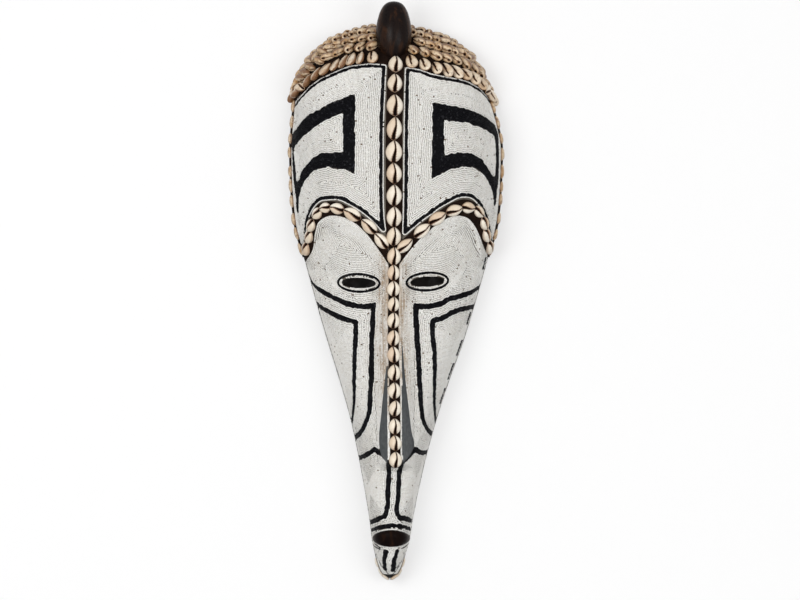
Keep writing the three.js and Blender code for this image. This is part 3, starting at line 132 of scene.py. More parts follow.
BROW_LINES = {
    "left": pairs(-880, 590, -865, 605, -851, 638, -841, 652, -813, 667, -775, 679, -719, 689,
                  -634, 692, -540, 692, -409, 681, -315, 670, -240, 659, -164, 645),
    "right": pairs(920, 590, 907, 616, 888, 638, 860, 659, 813, 678, 775, 687, 719, 695, 663,
                   697, 587, 695, 512, 688, 418, 678, 324, 665, 230, 652, 155, 640),
}
# Shares of the strip's half width from its middle.
UPRIGHT_LINES = {
    "left": pairs(-1250, 634, -1420, 652, -1530, 688, -1530, 743, -1510, 833, -1470, 879, -1460,
                  906, -1410, 929),
    "right": pairs(1290, 629, 1360, 661, 1420, 725, 1470, 815, 1420, 870, 1410, 924),
}
HAIR_LINES = {
    "left": pairs(-94, 929, -240, 931, -428, 927, -522, 920, -616, 912, -710, 904, -804, 891,
                  -898, 873, -970, 855),
    "right": pairs(97, 924, 230, 920, 324, 913, 418, 909, 512, 906, 606, 903, 700, 898, 794, 888,
                   860, 875, 930, 857),
}
BROW_BANDS = {
    "left": (
        pairs(-930, 590, -869, 616, -832, 641, -804, 663, -747, 678, -653, 685, -540, 684, -428,
              674, -334, 662, -249, 650, -174, 635, -50, 612),
        pairs(-870, 572, -785, 598, -757, 627, -719, 649, -644, 658, -522, 658, -409, 649, -287,
              630, -193, 607, -50, 566)),
    "right": (
        pairs(990, 590, 916, 620, 860, 645, 813, 667, 757, 683, 663, 689, 569, 686, 475, 676,
              381, 664, 277, 650, 183, 636, 30, 610),
        pairs(930, 572, 841, 600, 794, 623, 747, 641, 681, 655, 606, 659, 512, 656, 418, 647,
              324, 632, 211, 612, 30, 570)),
}
CHEEK_LINES = {
    "left": (
        pairs(-930, 590, -869, 569, -813, 549, -766, 533, -700, 523, -597, 513, -475, 502, -352,
              496, -258, 496, -207, 498, -211, 480, -223, 435, -228, 380, -240, 335, -254, 304,
              -287, 284, -338, 266, -418, 252, -500, 240),
        pairs(-860, 530, -785, 513, -719, 496, -616, 484, -503, 474, -376, 467, -376, 449, -387,
              408, -393, 362, -395, 326, -404, 303, -428, 275, -470, 250)),
    "right": (
        pairs(930, 575, 869, 551, 804, 533, 728, 522, 625, 515, 512, 509, 418, 500, 305, 496,
              188, 497, 193, 471, 207, 435, 221, 390, 235, 344, 249, 308, 277, 284, 324, 268,
              381, 259, 470, 250),
        pairs(880, 530, 813, 513, 738, 496, 625, 490, 531, 484, 446, 475, 348, 469, 352, 444,
              367, 417, 373, 380, 371, 317, 385, 286, 420, 262)),
}
MUZZLE_LINES = {
    "left": pairs(-460, 205, -381, 215, -334, 221, -258, 229, -202, 237, -146, 229, -75, 214,
                  -66, 199, -72, 163, -84, 127, -103, 116, -164, 111, -230, 104, -300, 92),
    "right": pairs(400, 234, 324, 232, 258, 230, 193, 237, 146, 227, 70, 212, 40, 199, 33, 172,
                   22, 145, 17, 123, 42, 113, 117, 110, 155, 106, 230, 92),
}
MOUTH_LINE = pairs(-300, 76, -258, 85, -202, 92, -127, 97, -42, 99, 61, 97, 127, 93, 174, 85, 220,
                   76)
CHIN_LINES = {
    "left": pairs(-96, 51, -112, 36, -108, 20),
    "right": pairs(19, 51, -5, 36, -16, 17),
}
NOSE_FLANKS = {
    "left": pairs(-90, 388, -136, 308, -155, 240, -143, 227, -77, 212, -77, 388),
    "right": pairs(70, 426, 99, 362, 127, 317, 155, 272, 177, 240, 146, 227, 73, 212, 62, 426),
}
SIDES = (("left", -1), ("right", 1))


# The carved surface.
def smooth_column(rows, column):
    """A curve through the rows of a table that doesn't overshoot between them."""
    xs = np.array([row[0] for row in rows], float)
    ys = np.array([row[column] for row in rows], float)
    rises = np.diff(ys) / np.diff(xs)
    before = rises[np.maximum(0, np.arange(len(xs)) - 1)]
    after = rises[np.minimum(len(rises) - 1, np.arange(len(xs)))]
    total = before + after
    slopes = np.where(before * after <= 0, 0, 2 * before * after / np.where(total == 0, 1, total))

    def read(x):
        x = np.clip(x, xs[0], xs[-1])
        i = np.clip(np.searchsorted(xs, x) - 1, 0, len(xs) - 2)
        span = xs[i + 1] - xs[i]
        t = (x - xs[i]) / span
        e = 1 - t
        return (ys[i] * (1 + 2 * t) * e**2 + slopes[i] * span * t * e**2
                + ys[i + 1] * t**2 * (3 - 2 * t) - slopes[i + 1] * span * t**2 * e)

    return read


half_width_share = smooth_column(SECTION_SHARES, 1)
lean_share = smooth_column(SECTION_SHARES, 2)
depth_share = smooth_column(SECTION_SHARES, 3)
strip_share = smooth_column(STRIP_MIDDLE_SHARES, 1)
brow_edge_share = smooth_column(BROW_EDGE_SHARES, 1)


def ease(value, start, end):
    t = np.clip((value - start) / (end - start), 0, 1)
    return t * t * (3 - 2 * t)


def ramp(value, start, end, at_start, at_end):
    return at_start + (at_end - at_start) * np.clip((value - start) / (end - start), 0, 1)


def section(height):
    """Half width, middle, depth and strip middle of the mask at a height."""
    share = np.asarray(height, float) / MASK_HEIGHT
    return (FACE_HALF_WIDTH * half_width_share(share), FACE_HALF_WIDTH * lean_share(share),
            FACE_DEPTH * depth_share(share), FACE_HALF_WIDTH * strip_share(share))


def eye_hollow(x, height, half, middle, strip):
    edge = MASK_HEIGHT * brow_edge_share(np.abs(x - strip) / FACE_HALF_WIDTH)
    aside = np.abs(x - middle) / half
    return (EYE_HOLLOW * ease(edge - height, 0, EYE_HOLLOW_SLOPE)
            * ease(height, EYE_HOLLOW_END, EYE_HOLLOW_FULL) * (1 - ease(aside, *EYE_HOLLOW_SIDES)))


def nose_rise(x, height, half, middle, depth, strip):
    ridge = ramp(height, NOSE_END, NOSE_ROOT, NOSE_TIP_DEPTH, NOSE_ROOT_DEPTH)
    face = depth - eye_hollow(strip, height, half, middle, strip)
    flank = ramp(height, NOSE_END, FLANK_START, FLANK_END_WIDTH, FLANK_WIDTH)
    across = 1 - np.clip((np.abs(x - strip) - NOSE_RIDGE) / flank, 0, 1)
    end = ease(height, NOSE_END, NOSE_END + NOSE_END_RUN)
    rise = np.maximum(0, ridge - face) * across**FLANK_POWER * end
    return np.where((height < NOSE_END) | (height > NOSE_ROOT), 0, rise)


def surface(across, height):
    """Points of the beaded surface. across runs from -1 on the left rim to 1 on the right rim."""
    across, height = np.broadcast_arrays(np.asarray(across, float), np.asarray(height, float))
    half, middle, depth, strip = section(height)
    turn = across * np.pi / 2
    out = np.abs(np.sin(turn)) ** (2 / SECTION_POWER)
    front = np.abs(np.cos(turn)) ** (2 / SECTION_POWER)
    x = middle + half * np.sign(turn) * out
    relief = nose_rise(x, height, half, middle, depth, strip) - eye_hollow(
        x, height, half, middle, strip)
    return np.stack([x, -(depth * front + relief), height], -1)


def bake_cells(count, columns, rows, margin):
    """Places in the bake map for a number of equal grids, each in a cell of its own."""
    cells = int(math.ceil(math.sqrt(count)))
    u, v = np.meshgrid(np.linspace(margin, 1 - margin, columns),
                       np.linspace(margin, 1 - margin, rows))
    index = np.arange(count)
    return np.stack([((index % cells)[:, None] + u.ravel()) / cells,
                     ((index // cells)[:, None] + v.ravel()) / cells], -1).reshape(-1, 2)


def unit(v):
    return v / np.maximum(np.linalg.norm(v, axis=-1, keepdims=True), 1e-12)


def walked_along(points):
    """The way along a line up to each of its points."""
    return np.concatenate([[0], np.cumsum(np.linalg.norm(np.diff(points, axis=0), axis=1))])


def way_at(spots, walked, points, reach):
    """The direction of a line at spots along it."""
    ends = [np.stack([np.interp(spots + d, walked, points[:, k]) for k in range(3)], -1)
            for d in (-reach, reach)]
    return unit(ends[1] - ends[0])


NUDGE = 0.002


def normals(across, height):
    rise = MASK_HEIGHT * NUDGE
    left = surface(np.maximum(-1, across - NUDGE), height)
    right = surface(np.minimum(1, across + NUDGE), height)
    low = surface(across, np.maximum(0, height - rise))
    high = surface(across, np.minimum(MASK_HEIGHT, height + rise))
    return unit(np.cross(right - left, high - low))


def offset_point(across, height, offset):
    return surface(across, height) + normals(across, height) * np.asarray(offset)[..., None]


def across_at(x, height):
    half, middle, _, _ = section(height)
    out = np.clip(np.abs(x - middle) / half, 0, 1)
    return np.sign(x - middle) * np.arcsin(out ** (SECTION_POWER / 2)) * 2 / np.pi


def across_at_depth(sign, depth, height):
    front = np.clip(depth / section(height)[2], 0, 1)
    return sign * np.arccos(front ** (SECTION_POWER / 2)) * 2 / np.pi


def placed(shares):
    return np.array(shares, float) * (FACE_HALF_WIDTH, MASK_HEIGHT)


def beside_strip(shares, half):
    shares = np.array(shares, float)
    height = shares[:, 1] * MASK_HEIGHT
    return np.stack([section(height)[3] + shares[:, 0] * half, height], -1)


def leaned(p):
    return p[..., 1] * math.sin(HAIR_TURN) + p[..., 2] * math.cos(HAIR_TURN)


hair_points = placed(HAIR_LINES["left"][::-1] + HAIR_LINES["right"])
hair_front = surface(across_at(*hair_points.T), hair_points[:, 1])
HAIR = np.stack([hair_front[:, 0], leaned(hair_front) + HAIR_LIFT], -1)


def behind_hair(p):
    """How far a point lies behind the hairline, on the leaned-back scale of the cap."""
    return leaned(p) - np.interp(p[..., 0], HAIR[:, 0], HAIR[:, 1])


def curve_through(points, closed=False, step=0.8, corner=45):
    """A dense smooth line through points, which keeps the sharp corners."""
    p = np.asarray(points, float)
    out = np.roll(p, -1, 0) - p
    into = p - np.roll(p, 1, 0)
    if not closed:
        out[-1], into[0] = into[-1], out[0]
    long_out = np.linalg.norm(out, axis=1, keepdims=True)
    long_in = np.linalg.norm(into, axis=1, keepdims=True)
    a, b = into / long_in, out / long_out
    sharp = (a * b).sum(1, keepdims=True) < math.cos(math.radians(corner))
    middle = (a * long_out + b * long_in) / (long_in + long_out)
    leave, arrive = np.where(sharp, b, middle), np.where(sharp, a, middle)
    parts = []
    for i in range(len(p) if closed else len(p) - 1):
        j = (i + 1) % len(p)
        span = long_out[i, 0]
        t = np.arange(0, 1, step / max(span, step))[:, None]
        parts.append((1 + 2 * t) * (1 - t) ** 2 * p[i] + t * (1 - t) ** 2 * span * leave[i]
                     + t**2 * (3 - 2 * t) * p[j] - t**2 * (1 - t) * span * arrive[j])
    if not closed:
        parts.append(p[-1:])
    return np.concatenate(parts)


def on_front(line):
    return surface(across_at(line[:, 0], line[:, 1]), line[:, 1])


def oval(x, height, half_length, half_height, tilt=0, count=96):
    turn = np.linspace(0, 2 * np.pi, count, endpoint=False)
    a, b = half_length * np.cos(turn), half_height * np.sin(turn)
    c, s = math.cos(math.radians(tilt)), math.sin(math.radians(tilt))
    return np.stack([x + a * c - b * s, height + a * s + b * c], -1)


def mouth_oval(extra=0, count=96):
    return oval(MOUTH[0] * FACE_HALF_WIDTH, MOUTH[1] * MASK_HEIGHT, MOUTH[2] + extra,
                MOUTH[3] + extra, count=count)


def eye_oval(side, extra):
    x, height, tilt = EYES[side]
    return oval(x * FACE_HALF_WIDTH, height * MASK_HEIGHT, EYE_SLIT[0] + extra,
                EYE_SLIT[1] + extra, tilt)


def crossings(outline, h):
    """Where an outline crosses a height, sideways."""
    a, b = outline, np.roll(outline, -1, 0)
    cut = (a[:, 1] > h) != (b[:, 1] > h)
    p, q = a[cut], b[cut]
    return np.sort(p[:, 0] + (h - p[:, 1]) / (q[:, 1] - p[:, 1]) * (q[:, 0] - p[:, 0]))


# Meshes.
def to_world(p):
    return (np.asarray(p, float) - (0, 0, NOTCH_HEIGHT)) * 0.001


def in_scene(name, data):
    thing = bpy.data.objects.new(name, data)
    bpy.context.scene.collection.objects.link(thing)
    return thing


def make_piece(name, points, faces, materials, attributes=None, uv=None, slots=None, flat=False):
    """A mesh piece that rides on the mask, from points in millimetres and faces of equal size."""
    mesh = bpy.data.meshes.new(name)
    points, faces = np.clip(to_world(points), cad_box[0], cad_box[1]), np.asarray(faces)
    mesh.vertices.add(len(points))
    mesh.vertices.foreach_set("co", points.astype(np.float32).ravel())
    mesh.loops.add(faces.size)
    mesh.loops.foreach_set("vertex_index", faces.astype(np.int32).ravel())
    mesh.polygons.add(len(faces))
    starts = np.arange(0, faces.size, faces.shape[1], dtype=np.int32)
    mesh.polygons.foreach_set("loop_start", starts)
    mesh.update(calc_edges=True)
    if slots is not None:
        mesh.polygons.foreach_set("material_index", np.asarray(slots, np.int32))
    if not flat:
        mesh.shade_smooth()
    for key, values in (attributes or {}).items():
        layer = mesh.attributes.new(key, "FLOAT", "POINT")
        layer.data.foreach_set("value", np.asarray(values, np.float32))
    if uv is not None:
        layer = mesh.uv_layers.new(name="OFBake")
        layer.uv.foreach_set("vector", uv[faces.ravel()].astype(np.float32).ravel())
    piece = in_scene(name, mesh)
    for material in materials:
        mesh.materials.append(material)
    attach(piece, "root")
    return piece


def grid_faces(rows, columns, closed=False):
    """Faces of a grid of points, whose columns may join up."""
    last = columns if closed else columns - 1
    r, c = np.meshgrid(np.arange(rows - 1), np.arange(last), indexing="ij")
    d = (c + 1) % columns
    low, high = r * columns, (r + 1) * columns
    return np.stack([low + c, low + d, high + d, high + c], -1).reshape(-1, 4)


# The field that the bead rows follow: samples over the whole surface, each with a label.
ROWS, COLUMNS = 1150, 760
arc = surface(np.linspace(-1, 1, 4001), 430.0)
arc = walked_along(arc)
ACROSS = np.interp(np.linspace(0, arc[-1], COLUMNS), arc, np.linspace(-1, 1, 4001))
HEIGHTS = np.linspace(0, MASK_HEIGHT, ROWS)
FIELD = surface(ACROSS[None, :], HEIGHTS[:, None])
DEPTHS = -FIELD[..., 1]


def filled(outline):
    """The samples inside an outline seen from the front."""
    inside = np.zeros((ROWS, COLUMNS), bool)
    low, high = outline[:, 1].min(), outline[:, 1].max()
    for row in np.nonzero((HEIGHTS >= low) & (HEIGHTS <= high))[0]:
        inside[row] = np.searchsorted(crossings(outline, HEIGHTS[row]), FIELD[row, :, 0]) % 2 == 1
    return inside


def tree_of(points):
    tree = kdtree.KDTree(len(points))
    for i, p in enumerate(points):
        tree.insert(p, i)
    tree.balance()
    return tree


def distances(tree, points):
    return np.array([tree.find(p)[2] for p in points])


def near_line(points, reach):
    """Distance of each sample to a line, where it is under a reach, and infinity elsewhere."""
    low, high = points.min(0) - reach, points.max(0) + reach
    near = ((FIELD > low) & (FIELD < high)).all(-1)
    found = np.full((ROWS, COLUMNS), np.inf)
    found[near] = distances(tree_of(points), FIELD[near])
    return found


def line_of(shares):
    return on_front(curve_through(placed(shares)))


def border_of(side):
    sign = dict(SIDES)[side]
    upright = beside_strip(UPRIGHT_LINES[side], STRIP_HALF)
    brow = np.concatenate([placed(BROW_LINES[side]), upright[:1]])
    corner = upright[-1, 0]
    xs = np.arange(abs(corner), FACE_HALF_WIDTH, 0.5) * sign
    hair = np.stack([xs, np.interp(xs, *hair_points.T)], -1)
    hair = hair[np.abs(across_at(*hair.T)) < 0.999]
    return np.concatenate([on_front(curve_through(brow)), on_front(curve_through(upright)),
                           on_front(hair)])


# Black lines by name: the points of the middle, the number of rows and the row pitch.
black_lines = {}
for side, sign in SIDES:
    black_lines[side + "_forehead_border_black"] = (border_of(side), 2, 1.95)
    upper, lower = CHEEK_LINES[side]
    black_lines[side + "_cheek_line_upper_black"] = (line_of(upper), 3, 2.15)
    black_lines[side + "_cheek_line_lower_black"] = (line_of(lower), 3, 2.15)
    black_lines[side + "_muzzle_line_black"] = (line_of(MUZZLE_LINES[side]), 3, 2.0)
    black_lines[side + "_chin_line_black"] = (line_of(CHIN_LINES[side]), 3, 2.35)
black_lines["mouth_line_black"] = (line_of(MOUTH_LINE), 3, 1.55)

WHITE, CLOTH = -1, -2
label = np.full((ROWS, COLUMNS), WHITE)
row_level = np.full((ROWS, COLUMNS), -1.0)
names = []


def mark(name, inside, level=None):
    names.append(name)
    label[inside] = len(names) - 1
    if level is not None:
        row_level[inside] = level[inside]


def waves(count, slowest, quickest, divisor):
    """A sum of plane waves over the surface, in random directions."""
    total = np.zeros((ROWS, COLUMNS))
    for _ in range(count):
        direction = unit(rng.normal(size=3)) * rng.uniform(slowest, quickest)
        total += np.sin(FIELD @ direction + rng.uniform(0, 2 * np.pi)) / divisor
    return total


cap = behind_hair(FIELD)
on_face = DEPTHS > RIM_LINE_INNER
# Ragged edges between black and white.
RAGGED_WAVES, RAGGED_REACH, FRAYED_SAMPLES = 14, 0.6, 1.5
ragged = waves(RAGGED_WAVES, 0.5, 2.4, math.sqrt(RAGGED_WAVES))
for name, (points, rows, pitch) in reversed(list(black_lines.items())):
    half = rows * pitch / 2
    away = near_line(points, half + 1.5) + RAGGED_REACH * ragged
    inside = away < half
    if "border" not in name:
        inside &= on_face
    mark(name, inside, (half - away) / pitch)


def shifted(places, by, count):
    moves = np.round(FRAYED_SAMPLES * by).astype(int)
    return np.clip(places + moves, 0, count - 1)


frayed = (shifted(np.arange(ROWS)[:, None], ragged, ROWS),
          shifted(np.arange(COLUMNS), ragged[::-1], COLUMNS))
for side, sign in SIDES:
    sides_of = FIELD[..., 0] * sign > 0
    ring = filled(curve_through(placed(RINGS[side][0]), closed=True))
    ring = (ring & ~filled(curve_through(placed(RINGS[side][1]), closed=True)))[frayed]
    mark(side + "_forehead_ring_black", ring)
    mark(side + "_eye_ring_black", filled(eye_oval(side, EYE_WHITE_RING + EYE_BLACK_RING))
         & ~filled(eye_oval(side, EYE_WHITE_RING)))
    mark(side + "_rim_line_black", sides_of & (DEPTHS > RIM_LINE_OUTER) & (DEPTHS < RIM_LINE_INNER)
         & (HEIGHTS[:, None] > CHIN_BAND_TOP) & (HEIGHTS[:, None] < SIDE_BAND_END))


def strip_of(half, bottom, top):
    aside = np.abs(FIELD[..., 0] - section(HEIGHTS)[3][:, None])
    return (aside < half) & (HEIGHTS[:, None] > bottom) & (HEIGHTS[:, None] < top)


def brow_outline(side):
    outer, inner = BROW_BANDS[side]
    return np.concatenate([curve_through(placed(outer)), curve_through(placed(inner))[::-1]])


knob_gap = np.hypot(FIELD[..., 0] - KNOB_X, FIELD[..., 1] - KNOB_Y) < KNOB_RADIUS
cloth = (cap > -1) | strip_of(STRIP_HALF, STRIP_MEET, STRIP_TOP)
cloth |= strip_of(NOSE_STRIP_HALF, NOSE_STRIP_END, STRIP_MEET)
cloth |= (DEPTHS < SIDE_BAND_DEPTH) & (HEIGHTS[:, None] > SIDE_BAND_END)
cloth |= (DEPTHS < CHIN_BAND_DEPTH) & (HEIGHTS[:, None] < CHIN_BAND_TOP)
cloth |= (HEIGHTS[:, None] < CHIN_TIP) & (DEPTHS > 0)
cloth |= DEPTHS < 1
cloth |= knob_gap & (HEIGHTS[:, None] > KNOB_FOOT)
cloth |= filled(mouth_oval()) & on_face
flank_outlines = {s: curve_through(placed(NOSE_FLANKS[s]), closed=True) for s, _ in SIDES}
for side, sign in SIDES:
    cloth |= filled(brow_outline(side)) & (FIELD[..., 0] * sign > 0)
    cloth |= filled(eye_oval(side, 0)) | filled(flank_outlines[side])
label[cloth] = CLOTH
row_level[label < 0] = -1


def border_points(region):
    """Points half way between a sample of a region and its neighbour outside it."""
    found = []
    for axis in (0, 1):
        a, b = (region[:-1], region[1:]) if axis == 0 else (region[:, :-1], region[:, 1:])
        p, q = (FIELD[:-1], FIELD[1:]) if axis == 0 else (FIELD[:, :-1], FIELD[:, 1:])
        edge = a != b
        found.append((p[edge] + q[edge]) / 2)
    return np.concatenate(found)


def smoothed(values, times):
    for _ in range(times):
        inner = values[1:-1, 1:-1]
        inner += (values[:-2, 1:-1] + values[2:, 1:-1] + values[1:-1, :-2] + values[1:-1, 2:]
                  - 4 * inner) / 6
    return values


WHITE_PITCH = 2.2
PITCHES = {"eye_rim": 1.55, "border_row": 1.75, "muzzle_stripe": 2.0, "eye_ring_black": 1.35,
           "forehead_ring_black": 2.1, "rim_line_black": 1.8}


def pitch_of(name):
    """The pitch of the rows in a bead panel."""
    if name in black_lines:
        return black_lines[name][2]
    return next((pitch for key, pitch in PITCHES.items() if key in name), WHITE_PITCH)


white = label == WHITE
away = np.zeros((ROWS, COLUMNS))
away[white] = distances(tree_of(border_points(white)), FIELD[white])
white_names = [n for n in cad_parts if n.endswith("_white")]
corners, patches, owner_of = [], [], []
for i, name in enumerate(white_names):
    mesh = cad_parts[name].data
    patches += [[v + len(corners) for v in p.vertices] for p in mesh.polygons]
    owner_of += [i] * len(mesh.polygons)
    corners += [v.co[:] for v in mesh.vertices]
nearest = BVHTree.FromPolygons(corners, patches)
owners = np.full((ROWS, COLUMNS), -1)
COARSE = 4
for r, c in np.argwhere(white[::COARSE, ::COARSE]).tolist():
    found = nearest.find_nearest(Vector(to_world(FIELD[r * COARSE, c * COARSE])))
    owners[r * COARSE, c * COARSE] = owner_of[found[2]]
for _ in range(COARSE):
    for a, b in (((slice(1, None),), (slice(None, -1),)), ((slice(None, -1),), (slice(1, None),)),
                 ((slice(None), slice(1, None)), (slice(None), slice(None, -1))),
                 ((slice(None), slice(None, -1)), (slice(None), slice(1, None)))):
        empty = (owners[a] < 0) & (owners[b] >= 0)
        owners[a] = np.where(empty, owners[b], owners[a])
smoothed(away, 2)
for i, name in enumerate(white_names):
    mark(name, white & (owners == i), away / pitch_of(name))
ring_names = [(i, n) for i, n in enumerate(names) if n.endswith(("ring_black", "rim_line_black"))]
rings = np.isin(label, [i for i, _ in ring_names])
ring_away = np.zeros((ROWS, COLUMNS))
ring_away[rings] = distances(tree_of(border_points(rings)), FIELD[rings])
smoothed(ring_away, 1)
for i, name in ring_names:
    row_level[label == i] = (ring_away / pitch_of(name))[label == i]

# The rows wander a little, as strung beads do.
WANDER_WAVES, WANDER_ROWS = 7, 0.16
wander = waves(WANDER_WAVES, 0.12, 0.4, WANDER_WAVES)
level = np.where(label >= 0, row_level + WANDER_ROWS * wander * np.clip(row_level, 0, 1), -1)
level[np.isin(label, [i for i, n in enumerate(names) if "border_row" in n])] = -1


def contours(values, height):
    """The lines on which the values have a height, as lists of (row, column) points."""
    above = values > height
    code = (above[:-1, :-1].astype(int) + 2 * above[:-1, 1:] + 4 * above[1:, 1:]
            + 8 * above[1:, :-1])
    r, c = np.nonzero((code > 0) & (code < 15))
    kind = code[r, c]
    width = values.shape[1]
    keys = np.stack([(r * width + c) * 2, (r * width + c + 1) * 2 + 1,
                     ((r + 1) * width + c) * 2, (r * width + c) * 2 + 1], -1)
    pairs = {1: [(3, 0)], 2: [(0, 1)], 3: [(3, 1)], 4: [(1, 2)], 5: [(3, 2), (1, 0)], 6: [(0, 2)],
             7: [(3, 2)], 8: [(2, 3)], 9: [(2, 0)], 10: [(0, 3), (2, 1)], 11: [(2, 1)],
             12: [(1, 3)], 13: [(1, 0)], 14: [(0, 3)]}
    links = []
    for k, segments in pairs.items():
        these = keys[kind == k]
        links += [these[:, list(s)] for s in segments if len(these)]
    if not links:
        return []
    after, before = {}, {}
    for a, b in np.concatenate(links).tolist():
        after.setdefault(a, []).append(b)
        before.setdefault(b, []).append(a)
    lines = []
    starts = [a for a in after if a not in before] + list(after)
    for start in starts:
        if not after.get(start):
            continue
        line = [start]
        while after.get(line[-1]):
            line.append(after[line[-1]].pop())
            if line[-1] == start:
                break
        if len(line) > 4:
            lines.append(np.array(line))
    found = []
    flat = values.ravel()
    for line in lines:
        cell, upright = line // 2, line % 2
        other = cell + np.where(upright == 1, width, 1)
        t = np.clip((height - flat[cell]) / (flat[other] - flat[cell]), 0, 1)
        row, column = cell // width, cell % width
        found.append(np.stack([row + t * (upright == 1), column + t * (upright == 0)], -1))
    return found


def relaxed(line, times=4):
    """A line with its small steps smoothed out. Its ends stay."""
    closed = len(line) > 8 and np.abs(line[0] - line[-1]).sum() < 1e-6
    if closed:
        line = line[:-1]
        for _ in range(times):
            line = (np.roll(line, 1, 0) + 2 * line + np.roll(line, -1, 0)) / 4
        return np.concatenate([line, line[:1]])
    for _ in range(times):
        line = line.copy()
        line[1:-1] = (line[:-2] + 2 * line[1:-1] + line[2:]) / 4
    return line


BEAD_LENGTH = 1.85
# Strung beads: owner, line, number in the line, across, height, direction, length and width.
strung = []


def string_beads(line, only=None, owner=None, skip=()):
    """Strings beads along a line of (row, column) points, on one region only if that is wanted."""
    line = relaxed(line)
    across = np.interp(line[:, 1], np.arange(COLUMNS), ACROSS)
    height = line[:, 0] * MASK_HEIGHT / (ROWS - 1)
    p = surface(across, height)
    walked = walked_along(p)
    count = int(round(walked[-1] / BEAD_LENGTH))
    if count < 2:
        return
    spots = (np.arange(count) + 0.5) * walked[-1] / count
    at = np.stack([np.interp(spots, walked, v) for v in (across, height)], -1)
    along = way_at(spots, walked, p, BEAD_LENGTH / 2)
    r = np.clip(np.round(np.interp(spots, walked, line[:, 0])).astype(int), 0, ROWS - 1)
    c = np.clip(np.round(np.interp(spots, walked, line[:, 1])).astype(int), 0, COLUMNS - 1)
    under = label[r, c]
    owners = under if owner is None else np.full(count, owner)
    keep = (owners >= 0) & ((under == only) | (only is None)) & ~np.isin(under, skip)
    ones = np.ones(count)
    rows = np.concatenate([np.stack([owners, ones * len(strung), np.arange(count)], -1), at, along,
                           np.stack([ones * walked[-1] / count, ones], -1)], 1)
    strung.append(rows[keep])


def field_place(points):
    """(row, column) places of surface points."""
    columns = np.interp(across_at(points[:, 0], points[:, 2]), ACROSS, np.arange(COLUMNS))
    return np.stack([points[:, 2] * (ROWS - 1) / MASK_HEIGHT, columns], -1)


# Single rows first: the middle of the thick black lines, and the white row outside each
# forehead's border, which runs beside the strip, the brow shells and the cap.
for name, (points, rows, pitch) in black_lines.items():
    if rows == 3:
        string_beads(field_place(points), only=names.index(name))
inner_labels = [i for i, n in enumerate(names) if "forehead" in n]
for side, sign in SIDES:
    points, rows, pitch = black_lines[side + "_forehead_border_black"]
    away = near_line(points, 5)
    away[~np.isfinite(away)] = 9
    for line in contours(-away, -(rows * pitch / 2 + 0.95)):
        string_beads(line, owner=names.index(side + "_border_row_white"), skip=inner_labels)
lip = on_front(mouth_oval(1.2, 97))
string_beads(field_place(np.concatenate([lip, lip[:1]])), owner=names.index("chin_white"))
# Thin black rows at the corners of the mouth, the hook of a chin line and the edges of the chin.
FINE_ROWS = [((-28.1, 47.2), (-24.5, 43), (-18.4, 39.6)),
             ((-28.1, 42.4), (-24, 40), (-18.6, 37.4)),
             ((18.4, 46.6), (14.5, 42.2), (7.6, 39)), ((0.4, 14.8), (3.6, 16), (5.1, 21.6)),
             ((11.2, 35), (10, 27.5), (6.2, 20), (1.9, 12.5), (-2.5, 7)),
             ((-25, 33.8), (-21.9, 25), (-18.1, 17.5), (-13.1, 10.6), (-9, 7))]
for row in FINE_ROWS:
    string_beads(field_place(on_front(curve_through(np.array(row)))),
                 owner=names.index("mouth_line_black"))
# Dashes of black beads low on the right side: the heights of their ends.
DASHES = [(404, 388), (335, 319), (300, 280), (271, 250), (240, 219)]
for top, bottom in DASHES:
    height = np.linspace(bottom, top, 30)
    for depth in DASH_DEPTHS:
        string_beads(field_place(surface(across_at_depth(1, depth, height), height)),
                     owner=names.index("right_rim_line_black"))
for k in range(int(level.max()) + 1):
    for line in contours(level, k + 0.5):
        string_beads(line)

# A bead that would stand in an earlier one of another row is left out.
strung = np.concatenate(strung)
spots = surface(strung[:, 3], strung[:, 4])
hard = [i for i, n in enumerate(names) if n.endswith("_black")]
room = np.where(np.isin(strung[:, 0], hard), 1.15, 1.35)
tree = tree_of(spots)
kept = np.ones(len(strung), bool)
line_ids, numbers = strung[:, 1].astype(int).tolist(), strung[:, 2].astype(int).tolist()
for i, (spot, reach) in enumerate(zip(spots.tolist(), room.tolist())):
    for _, j, _ in tree.find_range(spot, reach):
        if j < i and kept[j] and (line_ids[j] != line_ids[i] or abs(numbers[j] - numbers[i]) > 2):
            kept[i] = False
            break
strung, spots = strung[kept], spots[kept]

# Where two sets of rows meet, single beads fill the gaps, the widest gaps first.
step_row = np.gradient(FIELD, axis=0)
step_column = np.gradient(FIELD, axis=1)
slope_row = np.gradient(level, axis=0) / np.maximum(np.linalg.norm(step_row, axis=-1), 1e-6)
slope_column = np.gradient(level, axis=1) / np.maximum(np.linalg.norm(step_column, axis=-1), 1e-6)


def box_mean(values, reach=3):
    total = np.cumsum(np.cumsum(np.pad(values, reach + 1), 0), 1)
    n = 2 * reach + 1
    out = total[n:, n:] - total[:-n, n:] - total[n:, :-n] + total[:-n, :-n]
    return out[: values.shape[0], : values.shape[1]] / n**2


